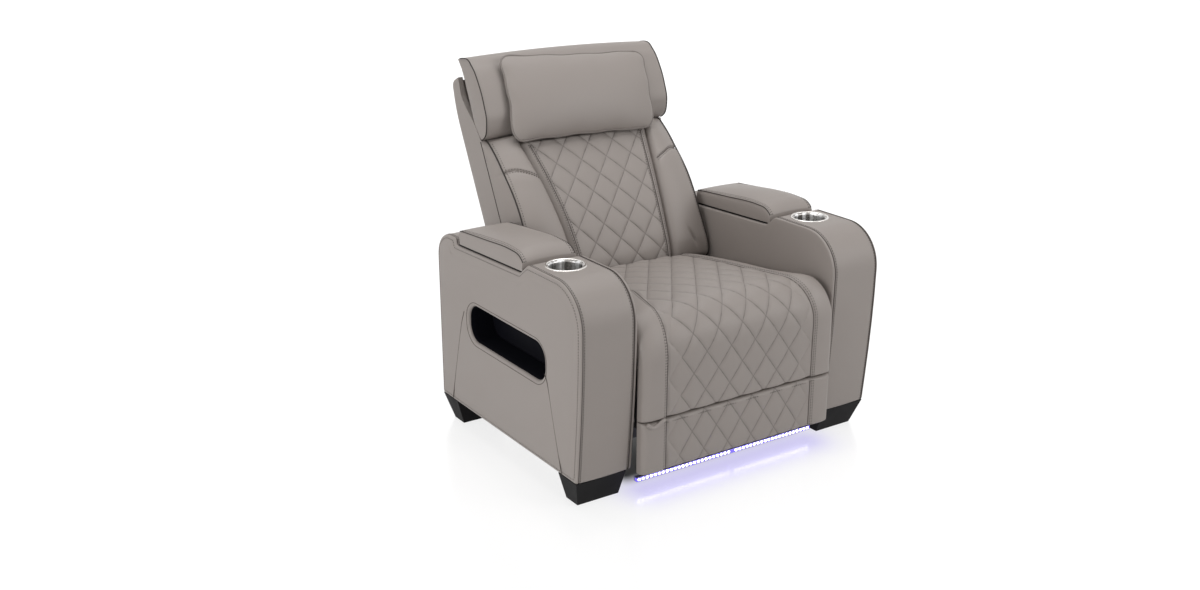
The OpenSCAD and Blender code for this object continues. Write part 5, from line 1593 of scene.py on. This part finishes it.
@dataclass(frozen=True)
class Headrest:
    """Headrest: lens-shaped pad with piped sides, and the loose pillow hung on it."""

    half: float = 318.0
    low: float = 446.0
    top: float = 699.0
    crown: float = 9.0
    pillow_w: float = 527.0
    pillow_v: float = -108.0
    pillow_rear: float = -89.5
    pillow_half_x: float = 247.0
    pillow_half_w: float = 122.0
    pillow_r: float = 36.0
    front_puff: float = 30.0
    rear_puff: float = 14.0
    slip: float = 5.0
    hang: float = 0.16
    lean: float = 0.25
    pressure: float = 3.0
    cap: float = 0.010

    def lens(self) -> Array:
        """The pad's section as a closed loop in v and w: bowed front, nearly flat rear over the board."""
        t, places = np.linspace(0, 1, 60), [0, 0.05, 0.22, 0.42, 0.62, 0.8, 0.93, 1]
        front = np.stack([curve(t, places, [-24, -44, -80, -91, -91, -78, -50, -3]),
                          curve(t, places, [self.low, 447, 481, 532, 590, 648, 684, self.top])], -1)
        back = np.stack([curve(t, [0, 0.06, 0.12, 0.5, 0.9, 1], [-3, -9, -11, -11, -12.5, -24]),
                         np.linspace(self.top, self.low, 60)], -1)
        loop = np.concatenate([front[:-1], back[:-1]])
        return smoothed_loop(resampled(loop, 3.0, True), 1.0)

    def pad(self) -> None:
        """The pad: its section carried across, with sides that dome out a little."""
        lens = self.lens()
        centre = lens.mean(0)
        shrink = np.array([0.02, 0.35, 0.7, 0.9, 0.975, 0.995])
        dome = self.half - 3.5 + 3.5 * (1 - shrink ** 2)
        sides = list(zip(dome, shrink))
        inner = np.linspace(-1, 1, 60) * (self.half - 5.0)
        stations = [(-x, size) for x, size in sides] + [(x, 1.0) for x in inner] + sides[::-1]
        loops = np.stack([PLAN.back(x, *(centre + (lens - centre) * size).T) for x, size in stations])
        across = np.clip(np.abs(loops[..., 0]) / (self.half / 1000), 0, 1)
        upper = np.clip((loops[..., 2] - loops[..., 2].mean()) / 0.08, 0, 1)
        rise = self.crown * (1 - across ** 2) * upper
        loops += rise[..., None] * (PLAN.back(0, 0, 1) - PLAN.back(0, 0, 0))
        pad = Piece("head_pad_cover", "headrest", ("head_pad",), fill=0.75, sharp=50)
        pad.build(capped_solid(loops), LEATHER)
        path = lens[np.argsort(lens[:, 1])]
        path = path[((path[:, 0] < -26) | (path[:, 1] > 684)) & (path[:, 0] < -20)]
        v, w = resampled(path, 4.0).T
        pipes = [tube(PLAN.back(side * 316.4, v, w), 0.0017) for side in (-1, 1)]
        thin_piece("head_piping", "headrest", PIPING, *pipes)

    def pillow(self) -> None:
        """Loose pillow, blown up from a flat rounded rectangle whose edges draw in between the corners.

        Its rear stays in front of the pad, and its welt follows the ring where front and rear meet. Its lower
        edge lies on the back's cushion, so it stays there while the headrest tilts.
        """
        s, t = (np.sin(np.linspace(-1, 1, count) * np.pi / 2 * end) / np.sin(np.pi / 2 * end)
                for count, end in ((76, 0.94), (44, 0.92)))
        tt, ss = np.meshgrid(t, s, indexing="ij")
        half_x, half_w, radius = self.pillow_half_x, self.pillow_half_w, self.pillow_r
        corner = np.clip((np.abs(tt) * half_w - (half_w - radius)) / radius, 0, 1)
        reach = half_x - radius * (1 - np.sqrt(1 - corner ** 2))
        x = ss * (reach - 6.0 * (1 - tt ** 2) + 1.6 * np.sin(9 * tt))
        rise = half_w * tt - 4.0 * tt * (1 - ss ** 2) + 1.3 * np.sin(11 * ss) * tt
        puff = np.clip((1 - np.abs(ss) ** 3.4) * (1 - np.abs(tt) ** 3.0), 0, 1) ** 0.5
        x, rise = x - self.slip + 0.024 * rise + 6.0 * (1 + tt), rise + 4.5 - (0.039 + 0.015 * tt) * x
        w = self.pillow_w + rise
        plane = self.pillow_v - 3.0 - self.hang * rise + self.lean * (rise + np.hypot(rise, 40.0)) / 2
        rear = (self.rear_puff + 8.0 * np.clip((rise - 30.0) / 80.0, 0, 1)) * puff
        shape = pillow_solid(PLAN.back(x, plane - self.front_puff * puff, w), PLAN.back(x, plane + rear, w))
        number = np.arange(tt.size).reshape(tt.shape)
        ring = np.concatenate([number[0], number[1:, -1], number[-1, :-1][::-1], number[1:-1, 0][::-1]])
        points, faces = inflated(shape, self.pressure, self.cap, ring)
        v, level = PLAN.leaning(points)
        limit = (self.pillow_rear + 17.0 * np.clip((475.0 - level) / 45.0, 0, 1)
                 + 10.0 * np.clip((level - 605.0) / 45.0, 0, 1))
        points = points - np.clip(v - limit, 0, None)[:, None] / 1000 * self.axis()
        cover = Piece("head_pillow_cover", "", ("head_pillow",), fill=0.7, sharp=180)
        edge = smoothed_loop(resampled(points[ring], 0.005, True), 1.0)
        inward = edge.mean(0) - edge
        inward = 0.0042 * inward / np.linalg.norm(inward, axis=1, keepdims=True)
        # Two dark cords beside the welt: painted shade along its edges.
        lines = [tube(edge + inward + side * 0.0024 * self.axis(), 0.0009, True) for side in (-1, 1)]
        start, stop = PLAN.back(0, -100, 560), PLAN.back(0, -100, 400)
        for obj in (cover.build((points, faces), LEATHER, level=1),
                    thin_piece("pillow_welt", "", WELT, tube(edge, 0.0034, True, 10)),
                    thin_piece("pillow_seams", "", SEAM, *lines)):
            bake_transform(obj)

    def axis(self) -> Array:
        """Unit vector rearwards through the leaning back."""
        return (PLAN.back(0, 1, 0) - PLAN.back(0, 0, 0)) * 1000

    def build(self) -> None:
        """Makes and dresses the headrest."""
        self.pad()
        self.pillow()


# Room


@dataclass(frozen=True)
class Studio:
    """Floor, light and camera of the picture."""

    position: tuple[float, float, float] = (-2.1071, -3.0072, 1.6049)
    pitch: float = 18.8315
    yaw: float = 33.642
    lens: float = 39.84
    bar_y: float = -0.475
    bar_half: float = 0.27
    # Radius of the painted glow of the light bar on the floor.
    glow_r: float = 0.075
    # Painted shadow under the seat: its half width, and where its front and rear edges fade.
    patch_half: float = 0.335
    patch_front: tuple[float, float] = (-0.44, -0.37)
    patch_rear: tuple[float, float] = (0.12, 0.24)
    light: float = 0.80
    # The floor's shine left inside the painted shadow.
    patch_light: float = 0.01
    bounce: float = 0.72
    mirror: float = 0.22
    room_light: float = 0.36
    aim: tuple[float, float, float] = (0.0, 0.0, 0.45)

    def floor(self) -> None:
        """White floor that keeps the shadow and shines in the camera and in mirrors.

        A painted blue glow of the light bar lies on it: e to the minus square of the distance from the bar's
        line over a radius. A painted shadow under the seat, whose edges fade, all but takes out its shine.
        """
        r = 60.0
        corners = np.array([(-r, -r, 0), (r, -r, 0), (r, r, 0), (-r, r, 0)])
        obj = mesh_object("floor", (corners, [[0, 1, 2, 3]]))
        material = bpy.data.materials.new("floor_white")
        material.use_nodes = True
        nodes = Nodes(material.node_tree)
        shader, out = (material.node_tree.nodes[name] for name in ("Principled BSDF", "Material Output"))
        place = nodes.add("ShaderNodeTexCoord").outputs["Object"]
        x, y, _ = nodes.add("ShaderNodeSeparateXYZ", {0: place}).outputs
        across = nodes.math("ABSOLUTE", x)
        # Painted glow of the light bar, pooled on the floor round the bar's line.
        beyond = nodes.math("MAXIMUM", nodes.math("SUBTRACT", across, self.bar_half), 0.0)
        off = nodes.math("SUBTRACT", y, self.bar_y)
        away = nodes.math("MULTIPLY_ADD", beyond, beyond, nodes.math("MULTIPLY", off, off))
        glow = nodes.math("EXPONENT", nodes.math("MULTIPLY", away, -1 / self.glow_r ** 2))
        tint = nodes.mix(nodes.math("MULTIPLY", glow, 0.6), (1, 1, 1, 1), (0.50, 0.44, 1.0, 1))
        # Painted shadow under the seat, with edges that fade: inside it the floor barely shines.
        front = nodes.math("SUBTRACT", 1.0, nodes.fade(y, *self.patch_front))
        along = nodes.math("MULTIPLY", front, nodes.fade(y, *self.patch_rear))
        under = nodes.math("MULTIPLY", along, nodes.fade(across, self.bar_half, self.patch_half))
        lit = nodes.math("MULTIPLY_ADD", under, self.patch_light - self.light, self.light)
        seen = nodes.seen()
        color = nodes.mix(seen, (*[self.bounce] * 3, 1), (*[self.mirror] * 3, 1))
        nodes.fill(shader, {"Base Color": color, "Roughness": 0.22})
        strength = nodes.math("MULTIPLY", seen, lit)
        light = nodes.add("ShaderNodeEmission", {"Color": tint, "Strength": strength})
        both = nodes.add("ShaderNodeAddShader", {0: shader.outputs[0], 1: light.outputs[0]})
        nodes.fill(out, {0: both.outputs[0]})
        obj.data.materials.append(material)

    def lamp(self, name: str, place: tuple[float, float, float], size: float, power: float) -> None:
        """One soft square lamp, turned to the seat's middle."""
        light = bpy.data.lights.new(name, "AREA")
        light.size, light.energy = size, power
        obj = bpy.data.objects.new(name, light)
        obj.location = place
        obj.rotation_euler = (Vector(self.aim) - Vector(place)).to_track_quat("-Z", "Y").to_euler()
        bpy.context.scene.collection.objects.link(obj)

    def build(self) -> None:
        """Makes the floor, the lamps, the surroundings and the camera."""
        self.floor()
        self.lamp("key", (2.6, -3.7, 2.5), 2.6, 67.0)
        self.lamp("side", (-4.2, -0.8, 1.3), 2.2, 62.0)
        self.lamp("top", (0.0, 0.2, 4.3), 3.0, 76.0)
        world = bpy.data.worlds.new("surroundings")
        world.use_nodes = True
        nodes = Nodes(world.node_tree)
        strength = nodes.math("MULTIPLY_ADD", nodes.seen(), 1 - self.room_light, self.room_light)
        nodes.fill(world.node_tree.nodes["Background"], {"Color": (1, 1, 1, 1), "Strength": strength})
        bpy.context.scene.world = world
        camera = bpy.data.cameras.new("camera")
        camera.lens = self.lens
        obj = bpy.data.objects.new("camera", camera)
        obj.location = self.position
        obj.rotation_euler = Euler((np.radians(90 - self.pitch), 0, -np.radians(self.yaw)))
        bpy.context.scene.collection.objects.link(obj)
        bpy.context.scene.camera = obj
        bpy.context.scene.view_settings.view_transform = "Standard"


@dataclass(frozen=True)
class Lights:
    """Row of small lamps behind the light strip's lens."""

    count: int = 46
    reach: float = 292.0
    y: float = 15.4
    low: float = 28.6
    high: float = 34.4
    length: float = 7.4
    join: float = 14.0
    gap: float = 12.0

    def build(self) -> None:
        """Makes the lamps: one row of rounded boxes, left out where the strip's two lengths meet."""
        middle = np.linspace(-self.reach, self.reach, self.count)
        middle = middle[np.abs(middle - self.join) > self.gap / 2]
        turn = np.linspace(0, 2 * np.pi, 8, endpoint=False) + np.pi / 8
        flat_x = np.clip(1.3 * np.cos(turn), -1, 1) * self.length / 2
        flat_z = np.clip(1.3 * np.sin(turn), -1, 1) * (self.high - self.low) / 2 + (self.high + self.low) / 2
        lamps = [capped_solid(np.stack([PLAN.floor(x + flat_x, y, flat_z) for y in (self.y, self.y + 0.8)]))
                 for x in middle]
        Piece("light_lamps", "base", sharp=30).build(merged(*lamps), GLOW)


def dress_nodes() -> None:
    """Gives each carried-over node its finish."""
    for finish, names in NODE_FINISHES.items():
        for name in names:
            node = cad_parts[name]
            node.data.materials.clear()
            node.data.materials.append(finish.material())
            log.info("%s: %s", name, finish.name)


def main() -> None:
    """Builds the whole recliner and its room."""
    logging.basicConfig(level=logging.INFO, format="%(message)s")
    dress_nodes()
    for side in (1, -1):
        Arm(side).build()
        Lid(side).build()
    Seat().build()
    Back().build()
    Headrest().build()
    Lights().build()
    Studio().build()


if __name__ == "__main__":
    main()
